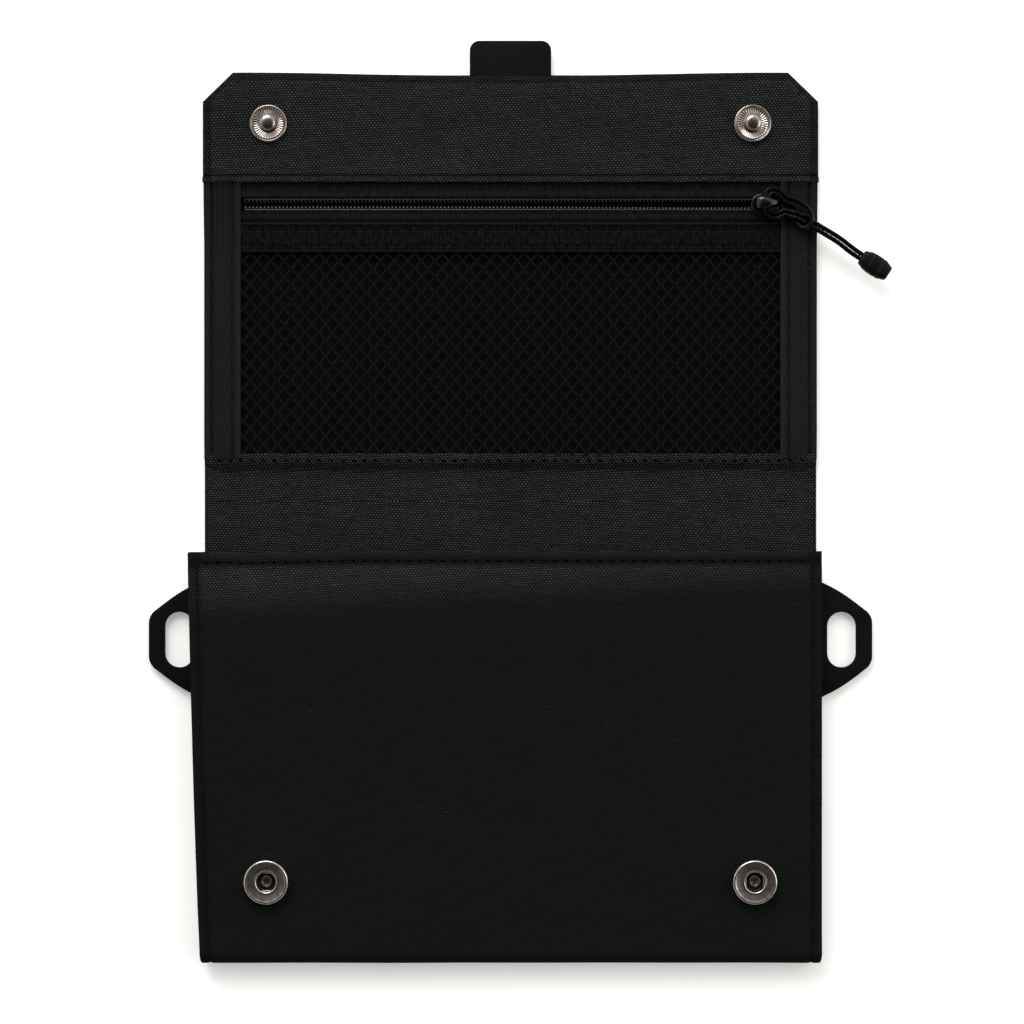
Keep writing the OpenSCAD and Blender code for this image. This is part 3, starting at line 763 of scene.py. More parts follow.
def make_puller():
    line, length = curve_through(np.array([laid(place) for place in CORD_ROUTE]) + PULL, 0.3)

    def braid(s, t):
        strands = np.abs(np.sin(2 * t + s * 2.1)) * np.abs(np.sin(2 * t - s * 2.1))
        return CORD_D / 2 * (0.93 + 0.12 * np.sqrt(strands))

    points, faces, flat = tube(line, braid, 20)
    cord = piece("puller_braid", points, faces, "puller", CORD, "puller_cord", ["puller_cord"], flat)

    # moulded end: a flat-sided barrel with two fine grooves, over the cord's two ends
    rings, sides, points = 44, 48, []
    for i in range(rings + 1):
        a = i / rings
        fall = min(a, 1 - a) / 0.06
        cap = math.sqrt(max(0.0, 1 - (1 - min(fall, 1)) ** 2))
        wide = END_FACE / 2 + (END_W - END_FACE) / 2 * float(smooth(min(a, 1 - a) / 0.33))
        thick = END_T / 2 * (0.86 + 0.14 * float(smooth(min(a, 1 - a) / 0.25)))
        notch = 0.16 * (near(a - 0.3, 0.03) + near(a - 0.66, 0.03))
        wide = (wide - notch) * (0.8 + 0.2 * cap)
        thick = (thick - notch) * (0.7 + 0.3 * cap)
        for j in range(sides):
            t = 2 * math.pi * j / sides
            c, s = math.cos(t), math.sin(t)
            y = wide * math.copysign(abs(c) ** 0.6, c)
            z = thick * math.copysign(abs(s) ** 0.6, s)
            points.append((a * END_L, y, z))
    faces = [face[::-1] for face in between_rings(rings + 1, sides)]
    faces.append(list(range(sides)))
    faces.append([rings * sides + j for j in range(sides)][::-1])
    points = np.array(points)
    c, s = math.cos(END_TURN), math.sin(END_TURN)
    points = points @ np.array([[c, s, 0], [-s, c, 0], [0, 0, 1]]) + PULL + END_AT
    end = piece("puller_barrel", points, faces, "puller", END, "moulded_end", ["puller_end"])
    tidy_edges(end, 50)


make_puller()


# Outer cloth: one sheet from the spine over the back, round the bottom and up the front to the mouth

BACK_L = BACK_END
BOTTOM_R = POUCH_T / 2
TURN_L = math.pi * (BOTTOM_R - SHELL / 2)
FRONT_L = MOUTH_Y - BOTTOM_Y
POUCH_L = BACK_L + TURN_L + FRONT_L
FRONT_V = BACK_L + TURN_L
SIDE_SEAM = 2.8  # stitches inside the front's sides, and below the mouth
MOUTH_SEAM = 3.0
LEFT_FLARE = 4.0  # how far the mouth's left corner stands out


def pouch_line():
    r = BOTTOM_R - SHELL / 2
    turn = [(BOTTOM_Y - r * math.sin(a), BOTTOM_R - r * math.cos(a)) for a in np.linspace(0, math.pi, 40)]
    return [(0, SHELL / 2), *turn, (MOUTH_Y, POUCH_T - SHELL / 2)]


def pouch_left(v):
    up = (np.clip((v - FRONT_V) / FRONT_L, 0, 1) + 0.03) ** 0.7 - 0.03 ** 0.7
    return -(HALF + 0.6 * smooth((v - BACK_L) / TURN_L) + LEFT_FLARE * up)


def pouch_right(v):
    # the back's lower right corner peeps out beside the front
    peep = 1.4 * smooth((v - 60) / 50) * (1 - smooth((v - BACK_L + 9) / 7))
    return HALF + peep + 0.8 * smooth((v - BACK_L) / TURN_L)


def near_socket(x, v):
    """1 at a socket, 0 away from it."""
    y = v - FRONT_V + BOTTOM_Y
    total = 0.0
    for middle in SOCKETS.values():
        total = total + smooth(1.6 - np.hypot(x - middle[0], y - middle[1]) / 8)
    return np.minimum(total, 1) * (v > FRONT_V - 5)


def pouch_lift(x, v):
    front = smooth((v - BACK_L - TURN_L * 0.6) / 10)
    left, right = pouch_left(v), pouch_right(v)
    side = np.minimum(x - left, right - x)
    sag = 0.75 * np.exp(-side / 5.0) + 0.22 * (1 - ripple(x, v, 58, 1)) * 0.5
    sag = sag + 0.05 * (1 - ripple(x, v, 11, 4))
    seams = groove(side - SIDE_SEAM, 0.1) + groove(POUCH_L - v - MOUTH_SEAM, 0.14)
    on_front = (sag * (1 - near_socket(x, v)) + seams) * front
    on_back = (0.05 + 0.08 * (1 + ripple(x, v, 50, 7)) + groove(side - SIDE_SEAM, 0.25)) * (1 - front)
    return -(on_front + on_back)


def pouch_sway(x, v):
    """The mouth's left corner hangs a little."""
    return -0.55 * smooth((-x - 45) / 35) * smooth((v - FRONT_V - 60) / 60)


def hem(v):
    """How much thicker the turned-in mouth is."""
    return 0.45 * smooth((v - POUCH_L + 5.6) / 0.9)


POUCH = Sheet(pouch_line(), pouch_left, pouch_right,
              lambda x, v: SHELL / 2 + pouch_lift(x, v),
              lambda x, v: -SHELL / 2 - hem(v) + pouch_lift(x, v),
              edge=0.5, ends=(False, True), sway=pouch_sway)


def pouch_tones(x, v):
    """The turned-in mouth is smooth, with painted highlights along its fold and the sides' folds, and painted
    shade darkens the seams.
    """
    side = np.minimum(x - pouch_left(v), pouch_right(v) - x)
    mouth = POUCH_L - v
    muted = 0.75 * (1 - smooth((mouth - 3.2) / 2.5)) + 0.6 * (1 - smooth((side - 2.6) / 2.5))
    # seams: painted shade in the mouth and side seams; fold: painted highlights along the folds
    seams = near(mouth - MOUTH_SEAM - 0.3, 0.5) * 0.6 + near(side - SIDE_SEAM - 0.2, 0.4) * 0.4
    fold = near(mouth - 1.0, 0.8) * 0.05 + near(side - 0.8, 0.8) * 0.02
    return {"muted": np.minimum(muted + seams, 1), "paler": fold - 0.012 * seams}


def crease_rows(v):
    """Close rows where the cloth bends."""
    return [v + k for k in np.linspace(-2.4, 2.4, 17)]


pouch_cloth = POUCH.build(
    "pouch_cloth", ("pouch", "spine", -CREASE_Y), FRONT, 1.5,
    fine_x=[SIDE_SEAM], fine_v=[*crease_rows(CREASE_Y), POUCH_L - MOUTH_SEAM, POUCH_L - 5.2,
                                *np.linspace(BACK_L, FRONT_V, 9)],
    tones=pouch_tones, slot="shell_cloth",
    replaces=["back_panel", "bottom_fold", "front_panel", "spine_shell"])


# Flap's outer cloth

FLAP_RIM = 2.5  # row of stitches inside the flap's rim, on its outer face
BAND_SEAM = 1.2  # lower row of stitches over the band's edge


def flap_half(v):
    """Half the flap's width: it spreads a little towards its end, and its corners are cut off."""
    return HALF + 0.45 * smooth((v - 60) / 40) - np.maximum(v - (FLAP_END - CUT), 0) * 1.03


def flap_sway(x, v):
    """The corners of the flap's end reach a little further than its middle."""
    return 0.85 * smooth((np.abs(x) - 18) / 62) * smooth((v - 106) / 18)


def cap_dimple(x, v):
    """Height of the cloth's under face over the table round the two caps."""
    total = 0.0
    for middle in STUDS.values():
        gap = np.hypot(x - middle[0], v - middle[1])
        total = total + 0.56 * (1 - smooth((gap - 5.5) / 3.2))
    return total


def flap_edge(x, v):
    return np.minimum(flap_half(v) - np.abs(x), FLAP_END - v)


def flap_top(x, v):
    return SHELL + 0.02 + 0 * x


def flap_bottom(x, v):
    gap = flap_edge(x, v)
    rise = 0.06 * (1 + ripple(x, v, 46, 3)) * smooth(v / 14) + 0.35 * np.exp(-gap / 1.6)
    seams = groove(gap - FLAP_RIM, 0.22) + groove(v - BAND_Y - BAND_SEAM, 0.16) * (v > 12)
    return np.maximum(rise + seams, cap_dimple(x, v))


FLAP = Sheet([(0, 0), (FLAP_END, 0)], lambda v: -flap_half(v), flap_half,
             lambda x, v: np.maximum(flap_top(x, v), flap_bottom(x, v) + 0.3), flap_bottom, edge=0.45,
             ends=(False, True), sway=flap_sway)
ROUND_CAP = np.array([-8, -6.5, -5.4, -4, 0, 4, 5.4, 6.5, 8])  # fine rows over a cap's width
flap_cloth = FLAP.build(
    "flap_cloth", FOLD_HIGH, CLOTH, 1.5, fine_x=[FLAP_RIM, *(HALF - abs(STUDS["right"][0]) + ROUND_CAP)],
    fine_v=[*crease_rows(CREASE_Y), BAND_Y + BAND_SEAM, FLAP_END - FLAP_RIM,
            *(STUDS["right"][1] + ROUND_CAP)],
    slot="shell_cloth", replaces=["flap_shell"])


# Inside cloth, from inside the pouch over the spine, and on under the coin pocket

LOOP_Y = (box("loop_left")[0][1], box("loop_left")[1][1])
TAIL_X = box("loop_right")[0][0]
SHEET_T = box("loop_right")[1][2] - box("loop_right")[0][2]


def back_rise(x, v):
    """The lining rises over the sewn-in tails of the strap loops."""
    over = smooth((np.abs(x) - TAIL_X + 1.6) / 1.4)
    along = smooth((v + LOOP_Y[1] + 1.6) / 1.4) * smooth((-LOOP_Y[0] + 1.6 - v) / 1.4)
    return SHELL + 0.03 + (SHEET_T + 0.02) * over * along + 0.0 * x


BACK_LINING = Sheet([(0, 0), (BOTTOM_Y + 0.6, 0)], -LINING_HALF, LINING_HALF,
                    lambda x, v: -back_rise(x, v),
                    lambda x, v: -(back_rise(x, v) + 0.4), edge=0.2, ends=(False, True))
back_lining = BACK_LINING.build(
    "inside_back_cloth", FOLD_LOW, CLOTH, 2.0, fine_x=[LINING_HALF - TAIL_X + k for k in (0.2, 0.9, 1.6)],
    fine_v=[*crease_rows(CREASE_Y), -LOOP_Y[1] - 0.9, -LOOP_Y[0] + 0.9],
    slot="lining_cloth", replaces=["back_lining", "spine_lining"])

FOLD_LINING = Sheet([(0, 0), (HEM_Y + 3.4, 0)], -LINING_HALF, LINING_HALF,
                    SHELL + 0.44, SHELL + 0.04, edge=0.2, ends=(False, True))
fold_lining = FOLD_LINING.build(
    "inside_fold_cloth", FOLD_HIGH, CLOTH, 2.0, fine_v=crease_rows(CREASE_Y), slot="lining_cloth")
POCKET_LINING = Sheet([(HEM_Y + 3.6, 0), (FLAP_END - CUT - 2, 0)], -LINING_HALF, LINING_HALF,
                      lambda x, v: SHELL + 0.44 + 0.05 * ripple(x, v, 24, 5) * smooth(v / 8),
                      SHELL + 0.04, edge=0.2)
pocket_lining = POCKET_LINING.build(
    "inside_flap_cloth", "flap", LINING, 2.0, slot="lining_cloth", replaces=["flap_lining"])

FRONT_LINING = Sheet([(BOTTOM_Y + 1, POUCH_T - SHELL), (MOUTH_Y - 4.8, POUCH_T - SHELL)],
                     -LINING_HALF, LINING_HALF,
                     lambda x, v: pouch_lift(x, v + FRONT_V + 1) - 0.03,
                     lambda x, v: pouch_lift(x, v + FRONT_V + 1) - 0.4, edge=0.2)
FRONT_LINING.build("front_inner_cloth", "pouch", LINING, 2.2, slot="lining_cloth", replaces=["front_lining"])


# Side gussets, folded inwards

def make_gusset(name, side):
    rows = np.concatenate([np.linspace(MOUTH_Y - 0.3, BOTTOM_Y, 70),
                           BOTTOM_Y - 3.35 * np.sin(np.linspace(0.1, 1.45, 12))])
    across = np.linspace(0, 1, 25)
    points = []
    for outer in (1, -1):
        for y in rows:
            v = FRONT_V + min(max(y, BOTTOM_Y), MOUTH_Y) - BOTTOM_Y
            edge = -pouch_left(np.array(v)) if side < 0 else pouch_right(np.array(v))
            drop = 0.0 if y > BOTTOM_Y else 3.4 * (1 - math.sqrt(max(0, 1 - ((BOTTOM_Y - y) / 3.4) ** 2)))
            low, high = SHELL + 0.35 + drop, POUCH_T - SHELL - 0.75 - drop
            depth = 5.6 * (1 - 0.85 * drop / 3.4) + 0.35 * math.sin(y * 0.11 + side)
            in_low, in_high = HALF - 0.35, float(edge) - 0.5
            for a in across:
                bow = (1 - abs(2 * a - 1) ** 1.7)
                x = in_low + (in_high - in_low) * a - depth * bow - 0.22 * outer
                z = low + (high - low) * a
                points.append((side * x, y, z))
    ny, nx = len(rows), len(across)
    index = np.arange(2 * ny * nx).reshape(2, ny, nx)
    faces = []
    for layer, turned in ((0, side > 0), (1, side < 0)):
        g = index[layer]
        for i in range(ny - 1):
            for j in range(nx - 1):
                face = (g[i, j], g[i, j + 1], g[i + 1, j + 1], g[i + 1, j])
                faces.append(face if turned else face[::-1])
    rim = ([(0, j) for j in range(nx)] + [(i, nx - 1) for i in range(1, ny)]
           + [(ny - 1, j) for j in range(nx - 2, -1, -1)] + [(i, 0) for i in range(ny - 2, 0, -1)])
    for a, b in zip(rim, rim[1:] + rim[:1]):
        faces.append((index[0][a], index[0][b], index[1][b], index[1][a]))
    flat = np.array([(z, y) for _, y, z in points])
    made = piece(name, points, faces, "pouch", CLOTH, "shell_cloth",
                 ["gusset_left" if side < 0 else "gusset_right"], flat)
    tidy_edges(made, 60)


make_gusset("gusset_cloth_left", -1)
make_gusset("gusset_cloth_right", 1)


# Strap loops and the flap's tab, cut from smooth coated sheet

def loop_outline(side):
    low, high = LOOP_Y
    middle, base = (low + high) / 2, (high - low) / 2
    tip_x, tip, r = box("loop_right")[1][0], 7.8, 5.0
    slope = math.degrees(math.atan2(base - tip, tip_x - HALF))
    cut = r / math.tan(math.radians((90 + slope) / 2))
    round_up = arc(tip_x - r, tip - cut, r, 0, 90 - slope)
    right = [(tip_x - r + (x - tip_x + r), y) for x, y in round_up]
    (x0, y0), share = right[-1], np.linspace(0, 1, 10)[1:-1]
    side_edge = [(x0 + (HALF - x0) * t, y0 + (base - y0) * t + 0.8 * math.sin(math.pi * t)) for t in share]
    half = [*right, *side_edge, (HALF, base), (TAIL_X, base)]
    outline = [(x, -y) for x, y in half[::-1]] + half
    return [(side * x, middle + y) for x, y in outline]


def slot_outline(side):
    low, high = LOOP_Y
    middle, r, reach = (low + high) / 2, 4.4, 4.1
    x0 = HALF + 17 - 5 - r
    outline = arc(x0, reach, r, 0, 180, 20) + arc(x0, -reach, r, 180, 360, 20)
    return [(side * x, middle + y) for x, y in outline]


for side, word in ((-1, "left"), (1, "right")):
    low, high = box("loop_" + word)
    plate("strap_loop_" + word, loop_outline(side), [slot_outline(side)], low[2], high[2], 0.3,
          "pouch", SHEET, slot="smooth_sheet", replaces=["loop_" + word])


def tab_outline():
    low, high = box("flap_tab")
    r = 3.0
    return [(low[0], low[1]), (high[0], low[1]), *arc(high[0] - r, high[1] - r, r, 0, 90),
            *arc(low[0] + r, high[1] - r, r, 90, 180)]


plate("end_tab", tab_outline(), [], box("flap_tab")[0][2], box("flap_tab")[1][2], 0.3, "flap", SHEET,
      slot="smooth_sheet", replaces=["flap_tab"])


# Band across the flap's end

RIM_SEAM = 2.4  # row of stitches inside the flap's rim, on the band
BAND_LINE = 2.1  # pressed line along the band's lower edge


def band_gap(x, v):
    return np.minimum(flap_half(v + BAND_Y) - np.abs(x), FLAP_END - BAND_Y - v)


def near_stud(x, v):
    total = 0.0
    for middle in STUDS.values():
        total = total + smooth(1.7 - np.hypot(x - middle[0], v + BAND_Y - middle[1]) / 7)
    return np.minimum(total, 1)


def band_top(x, v):
    gap = band_gap(x, v)
    pinch = 1.35 * np.exp(-(np.maximum(gap, 0) / 2.3) ** 1.4)
    soft = 0.10 * (1 - ripple(x, v, 34, 2)) + 0.04 * (1 - ripple(x, v, 9, 6))
    seams = groove(gap - RIM_SEAM, 0.12) + groove(v - BAND_LINE, 0.22, 0.4)
    return FACE_Z - (pinch + soft) * (1 - near_stud(x, v)) - seams


def band_bottom(x, v):
    return np.where(v < 2.0, TAPE_TOP + 0.02, LINING_TOP - 0.25) + 0 * x


def band_tones(x, v):
    """Smooth folded rim outside its seam, painted shade along each seam and the pressed line, and painted
    highlights along the rim and the ridge over the lower edge.
    """
    gap = band_gap(x, v)
    muted = (0.45 * (1 - smooth((gap - 2.0) / 0.8)) + near(gap - RIM_SEAM - 0.1, 0.35) * 0.4
             + near(v - BAND_LINE, 0.35) * 0.8)
    paler = 0.02 * near(gap - 0.5, 0.5) + 0.05 * near(v - 0.9, 0.5)
    return {"muted": np.minimum(muted, 1), "paler": paler}


BAND = Sheet([(BAND_Y, 0), (FLAP_END, 0)], lambda v: -flap_half(v + BAND_Y), lambda v: flap_half(v + BAND_Y),
             band_top, band_bottom, edge=0.7, sway=lambda x, v: flap_sway(x, v + BAND_Y))
band = BAND.build("stud_band", "flap", CLOTH, 1.3, fine_x=[RIM_SEAM, 5.0], edge=0.6,
                  fine_v=[BAND_SEAM, FLAP_END - BAND_Y - RIM_SEAM, 2.0, FLAP_END - BAND_Y - CUT],
                  tones=band_tones, slot="shell_cloth", replaces=["flap_band", "band_interlining"])


# Coin pocket: side strips, hem, ribbon, zip tapes

STRIP_SEAM = 2.5  # rows of stitches in from either edge of a strip
HEM_SEAM = 3.4
RIBBON_SEAMS = (2.1, 6.9)


def make_strip(word, side):
    start = MESH_Y - 0.5

    def top(x, v):
        outer = HALF - np.abs(x)
        inner = np.abs(x) - INNER
        pinch = 1.2 * np.exp(-(np.maximum(outer, 0) / 2.2) ** 1.4)
        ends = 0.5 * np.exp(-(np.maximum(v, 0) / 3.0) ** 2)
        seams = groove(outer - STRIP_SEAM, 0.2) + groove(inner - STRIP_SEAM, 0.14)
        edge = 0.22 * np.exp(-((inner - 1.2) / 0.35) ** 2)
        return FACE_Z - 0.04 - pinch - ends - seams - edge * 0.3 - 0.05 * (1 - ripple(x, v, 21, 8 + side))

    def bottom(x, v):
        leg = smooth((np.abs(x) - UNDER + 0.3) / 0.6)
        return (TAPE_TOP + 0.08) * (1 - leg) + (LINING_TOP + 0.02) * leg

    left, right = (-HALF, -INNER) if side < 0 else (INNER, HALF)
    strip = Sheet([(start, 0), (BAND_Y + 0.6, 0)], left, right, top, bottom, edge=0.34)
    def tones(x, v):
        # muted: painted shade along both seams and painted shadow under the band's edge; paler: painted
        # highlights along the strip's two edges
        outer, inner = HALF - np.abs(x), np.abs(x) - INNER
        return {"muted": 0.7 * near(outer - STRIP_SEAM, 0.45) + 0.6 * near(inner - STRIP_SEAM, 0.4)
                         + 0.5 * near(v - BAND_Y + start, 1.5),
                "paler": 0.2 * near(inner - 0.5, 0.5) + 0.1 * near(outer - 1.0, 0.7)}

    made = strip.build("side_tape_" + word, "flap", TWILL, 1.0, fine_x=[1.2, STRIP_SEAM], edge=0.34,
                       tones=tones, slot="woven_tape", replaces=["side_strip_" + word])
    rows = []
    for x in (side * (HALF - STRIP_SEAM), side * (INNER + STRIP_SEAM)):
        rows.append((strip, [(x, 2.0), (x, strip.length - 1.2)], 1))
    return rows


strip_rows = make_strip("left", -1) + make_strip("right", 1)

HEM = Sheet([(HEM_Y, 0), (MESH_Y + 1.1, 0)], -HALF + 0.1, HALF - 0.1,
            lambda x, v: LINING_TOP + 0.35 + 2.0 * smooth(v / 3.6) + 0.12 * ripple(x, v, 30, 5) - 0.35
            - groove(v - HEM_SEAM, 0.15) - 0.9 * np.exp(-(HALF - np.abs(x)) / 1.8),
            lambda x, v: np.where(v < MESH_Y - HEM_Y - 0.4, LINING_TOP + 0.02, TAPE_TOP - 0.5), edge=0.4)
HEM.build("pocket_hem", "flap", CLOTH, 1.2, fine_v=[HEM_SEAM, HEM_SEAM + 1], edge=0.4,
          slot="shell_cloth", replaces=["mesh_hem"])


def ribbon_top(x, v):
    ribs = 0.09 * np.cos(x * 2 * math.pi / 0.80)
    edges = 0.1 * np.exp(-(np.minimum(v, RIBBON_TOP - RIBBON_Y - v) / 0.5) ** 2)
    seams = sum(groove(v - seam, 0.16, 0.4) for seam in RIBBON_SEAMS)
    return 0.46 + ribs * smooth(np.minimum(v, RIBBON_TOP - RIBBON_Y - v) / 0.8) + edges - seams


RIBBON = Sheet([(RIBBON_Y, TAPE_TOP), (RIBBON_TOP, TAPE_TOP)], -INNER + 0.05, INNER - 0.05,
               ribbon_top, 0.02, edge=0.22)


def make_ribbon():
    width = 2 * INNER - 0.1
    columns = np.linspace(0, width, int(width / 0.2) + 1)
    rows = spots(RIBBON.length, 1.0, 0.22, RIBBON_SEAMS, 0.6)
    points, faces, flat = RIBBON.mesh(columns, rows)
    v = flat[:, 1]
    # painted highlights along the ribbon's two edges, painted shade just inside them
    tones = {"muted": 0.8 * near(RIBBON.length - v - 1.1, 0.4) + 0.5 * near(v - 0.9, 0.4),
             "paler": 0.45 * near(RIBBON.length - v - 0.3, 0.3) + 0.2 * near(v - 0.3, 0.3)}
    piece("ribbed_band", points, faces, "flap", RIBBED, "ribbed_ribbon", ["pocket_ribbon"], flat, tones)


def make_tape(name, node, y0, y1, seam, way):
    def top(x, v):
        rope = 0.14 * np.exp(-((v - seam) / 0.45) ** 2)
        return TAPE_TOP - 0.03 + rope - 0.05 * (1 - ripple(x, v, 17, 9))

    tape = Sheet([(y0, 0), (y1, 0)], -UNDER + 0.05, UNDER - 0.05, top, TAPE_Z + 0.04, edge=0.25)
    # where the tape goes under the ribbon or the band; a painted shadow darkens it there
    shadowed_end = RIBBON_TOP - y0 if way > 0 else BAND_Y - y0

    def tones(x, v):
        # muted: painted shadow under the ribbon's or band's edge and painted shade beside the coil; paler: a
        # painted highlight along the tape near the coil
        coil_end = tape.length - v if way > 0 else v
        return {"muted": 0.75 * near(v - shadowed_end, 1.0) + 0.3 * near(coil_end, 0.8),
                "paler": 0.3 * near(coil_end - 1.4, 0.5)}

    tape.build(name, "flap", TAPE, 1.3, fine_v=[seam, shadowed_end], edge=0.25, tones=tones,
                      slot="woven_tape", replaces=[node])


make_tape("lower_tape", "lower_zip_tape", MESH_TOP, LOW_COIL[0][1] + 0.1, LOW_COIL[0][1] - MESH_TOP - 0.45, 1)
make_tape("upper_tape", "upper_zip_tape", HIGH_COIL[1][1] - 0.1, BAND_Y + 1.9, 0.55, -1)
make_ribbon()


# Zip coil: a thread wound into flat turns, over a cord that holds it

def make_coil(name, node, root_y, way, material):
    low, high = box(node)
    pitch, radius = 1.15, 0.27
    count = int(round((high[0] - low[0]) / pitch))
    start, middle_z = low[0] + 0.3, (low[2] + high[2]) / 2
    thick = (high[2] - low[2]) / 2 - radius
    parts = []
    for k in range(count):
        x0 = start + k * pitch
        turn = np.linspace(0, 1, 13)
        depth = 0.5 - 0.5 * np.cos(turn * 2 * math.pi)
        y = root_y + way * (0.27 + depth * (1.3 - 0.54))
        z = middle_z + thick * np.sin(turn * 2 * math.pi) * 0.95
        x = x0 + 0.28 * np.sin(turn * math.pi) ** 2 + turn * 0.12
        # away from the slider the two rows lie closer
        y = y + way * 0.28 * (1 - float(smooth((x0 + 10) / 70)))
        line = np.stack([x, y, z], -1)
        bulge = 1 + 0.28 * np.exp(-((turn - 0.5) / 0.12) ** 2)
        parts.append(tube(line, lambda s, t, b=bulge: radius * 0.9 * b[:, None] + 0 * t, 8, up=(1, 0, 0)))
    core = np.stack([np.linspace(low[0], high[0], 200), np.full(200, root_y + way * 0.42),
                     np.full(200, middle_z)], -1)
    parts.append(tube(core, 0.26, 8))
    points, faces, flat = joined(parts)
    piece(name, points, faces, "flap", material, "zip_coil", [node], flat)


make_coil("lower_coil", "lower_zip_coil", LOW_COIL[0][1], 1, COIL)
# the upper row takes the darker copy, as painted shade
make_coil("upper_coil", "upper_zip_coil", HIGH_COIL[1][1], -1, SHADED_COIL)


# Pocket net: knitted strands that zigzag and meet in diamonds

def make_net():
    wide, tall, strand = 4.2, 4.9, 0.30
    y = np.arange(MESH_Y + 0.2, MESH_TOP + 0.3, tall / 16)
    phase = (y - MESH_Y) / tall * 2 * math.pi
    zigzag = np.clip(np.arcsin(np.sin(phase) * 0.985) / (math.pi / 2) * 1.22, -1, 1)
    parts = []
    count = int(2 * (UNDER - 0.6) / (wide / 2))
    for k in range(count + 1):
        way = 1 if k % 2 else -1
        base = (k - count / 2) * wide / 2
        x = base + way * zigzag * (wide / 4 - 0.12)
        bow = 0.12 * ripple(x, y, 40, 3)
        z = TAPE_Z + 0.32 + bow + way * 0.04
        knot = 1 + 0.45 * near(np.abs(np.sin(phase)) - 1, 0.10)
        parts.append(tube(np.stack([x, y, z], -1), lambda s, t, k=knot: strand * k[:, None] + 0 * t, 6,
                          squash=0.62))
    points, faces, flat = joined(parts)
    made = piece("pocket_net", points, faces, "flap", NET, "pocket_mesh", ["coin_mesh"], flat)


make_net()


# Sewing

def rim_way(inset, v0, start):
    """A way along the flap's rim, inset from it, from v0 to v0; v counts from start."""
    corner = inset * math.tan(math.radians(22.5))
    half = HALF - inset
    top = FLAP_END - inset - start
    bend = FLAP_END - CUT - start - corner
    return [(-half, v0), (-half, bend), (-(HALF - CUT) + corner, top), (HALF - CUT - corner, top),
            (half, bend), (half, v0)]


sew("band_stitches", "flap", [
    (BAND, [(-HALF + 3.4, BAND_SEAM), (HALF - 3.4, BAND_SEAM)], 1),
    (BAND, rim_way(RIM_SEAM, BAND_SEAM + 0.8, BAND_Y), 1)], FLAP_THREAD, wide=0.45, sunk=0.04)
sew("strip_stitches", "flap", strip_rows, FLAP_THREAD, wide=0.42, sunk=0.04)
sew("ribbon_stitches", "flap", [
    (RIBBON, [(-INNER + 1.5, seam), (INNER - 1.5, seam)], 1) for seam in RIBBON_SEAMS], wide=0.5)
sew("hem_stitches", "flap", [(HEM, [(-HALF + 3, HEM_SEAM), (HALF - 3, HEM_SEAM)], 1)])
front_way = [FRONT_V + 1.5, POUCH_L - MOUTH_SEAM]
sew("front_stitches", "pouch", [
    (POUCH, [(float(pouch_left(np.array(POUCH_L))) + SIDE_SEAM + 1.6, POUCH_L - MOUTH_SEAM),
             (HALF - SIDE_SEAM - 0.8, POUCH_L - MOUTH_SEAM)], 1)])
sew("side_stitches", "pouch", [
    (POUCH, [(float(pouch_left(np.array(v))) + SIDE_SEAM, v) for v in np.linspace(*front_way, 30)], 1),
    (POUCH, [(float(pouch_right(np.array(v))) - SIDE_SEAM, v) for v in np.linspace(*front_way, 30)], 1)],
    length=1.5, wide=0.45, sunk=0.05)
sew("back_stitches", "pouch", [
    (POUCH, [(side * (HALF - SIDE_SEAM), v) for v in (10.5, BACK_L - 1.5)], 1) for side in (-1, 1)])
sew("flap_rim_stitches", "flap", [
    (FLAP, rim_way(FLAP_RIM, 11, 0), -1),
    (FLAP, [(-HALF + 4, BAND_Y + BAND_SEAM), (HALF - 4, BAND_Y + BAND_SEAM)], -1)])


# Snaps

# Outlines as (radius, height), each turned round its snap's axis
STUD = [(0, 0), (3, 0), (5.2, 0), (5.75, 0.15), (5.8, 0.5), (5.76, 0.85), (5.6, 1.12), (5.35, 1.24),
        (5.1, 1.16), (4.86, 0.95), (4.7, 0.74), (4.3, 0.62), (3.8, 0.55), (3.3, 0.48), (2.85, 0.36),
        (2.4, 0.22),
        (2.1, 0.25), (1.95, 0.7), (1.93, 1.5), (2.05, 1.95), (2.38, 2.2), (2.5, 2.5), (2.46, 2.85),
        (2.25, 3.15), (1.85, 3.38), (1.3, 3.52), (0.7, 3.585), (0, 3.6)]
SOCKET = [(0, 0.02), (3, 0.02), (6.2, 0), (6.7, 0.25), (6.85, 0.8), (6.85, 2.1), (6.75, 2.6), (6.45, 2.95),
          (6.1, 3.0), (5.85, 2.93), (5.6, 2.86), (4.9, 2.74), (4.1, 2.62), (3.7, 2.58), (3.45, 2.66),
          (3.2, 2.64), (3.0, 2.45), (2.95, 2.2), (2.95, 1.6), (3.0, 0.95), (2.9, 0.6), (2.4, 0.5), (0, 0.5)]
CAP = [(0, 0.62), (3, 0.62), (4.9, 0.6), (5.35, 0.5), (5.4, 0.32), (5.25, 0.14), (4.7, 0.05), (3, 0.02),
       (0, 0.0)]
# curled end of the hollow post, in the bottom of the socket
POST_CURL = [(0, 0.5), (1.0, 0.5), (2.0, 0.52), (2.05, 0.8), (1.9, 1.12), (1.6, 1.3), (1.25, 1.28),
             (0.95, 1.05), (0.85, 0.8), (0.8, 0.62), (0, 0.6)]
# inside a socket's mouth the darker metal is painted shade
MOUTH_R = 3.02  # radius of a socket's mouth, inside which its metal is dark


def flutes(r, z, t):
    """Sharp radial ridges in the stud's dish."""
    ring = np.exp(-((r - 3.75) / 0.95) ** 6) * (z > 0.3) * (z < 1.4)
    return 0.06 * ring * np.cos(36 * t)


def radial_scuffs(r, z, t):
    """Faint radial grooves round a socket's flat ring."""
    ring = np.exp(-((r - 4.7) / 0.85) ** 6) * (z > 2)
    return ring * 0.015 * (np.sin(23 * t + 0.6) * np.sin(9 * t + 1.1) + 0.5 * np.sin(41 * t))


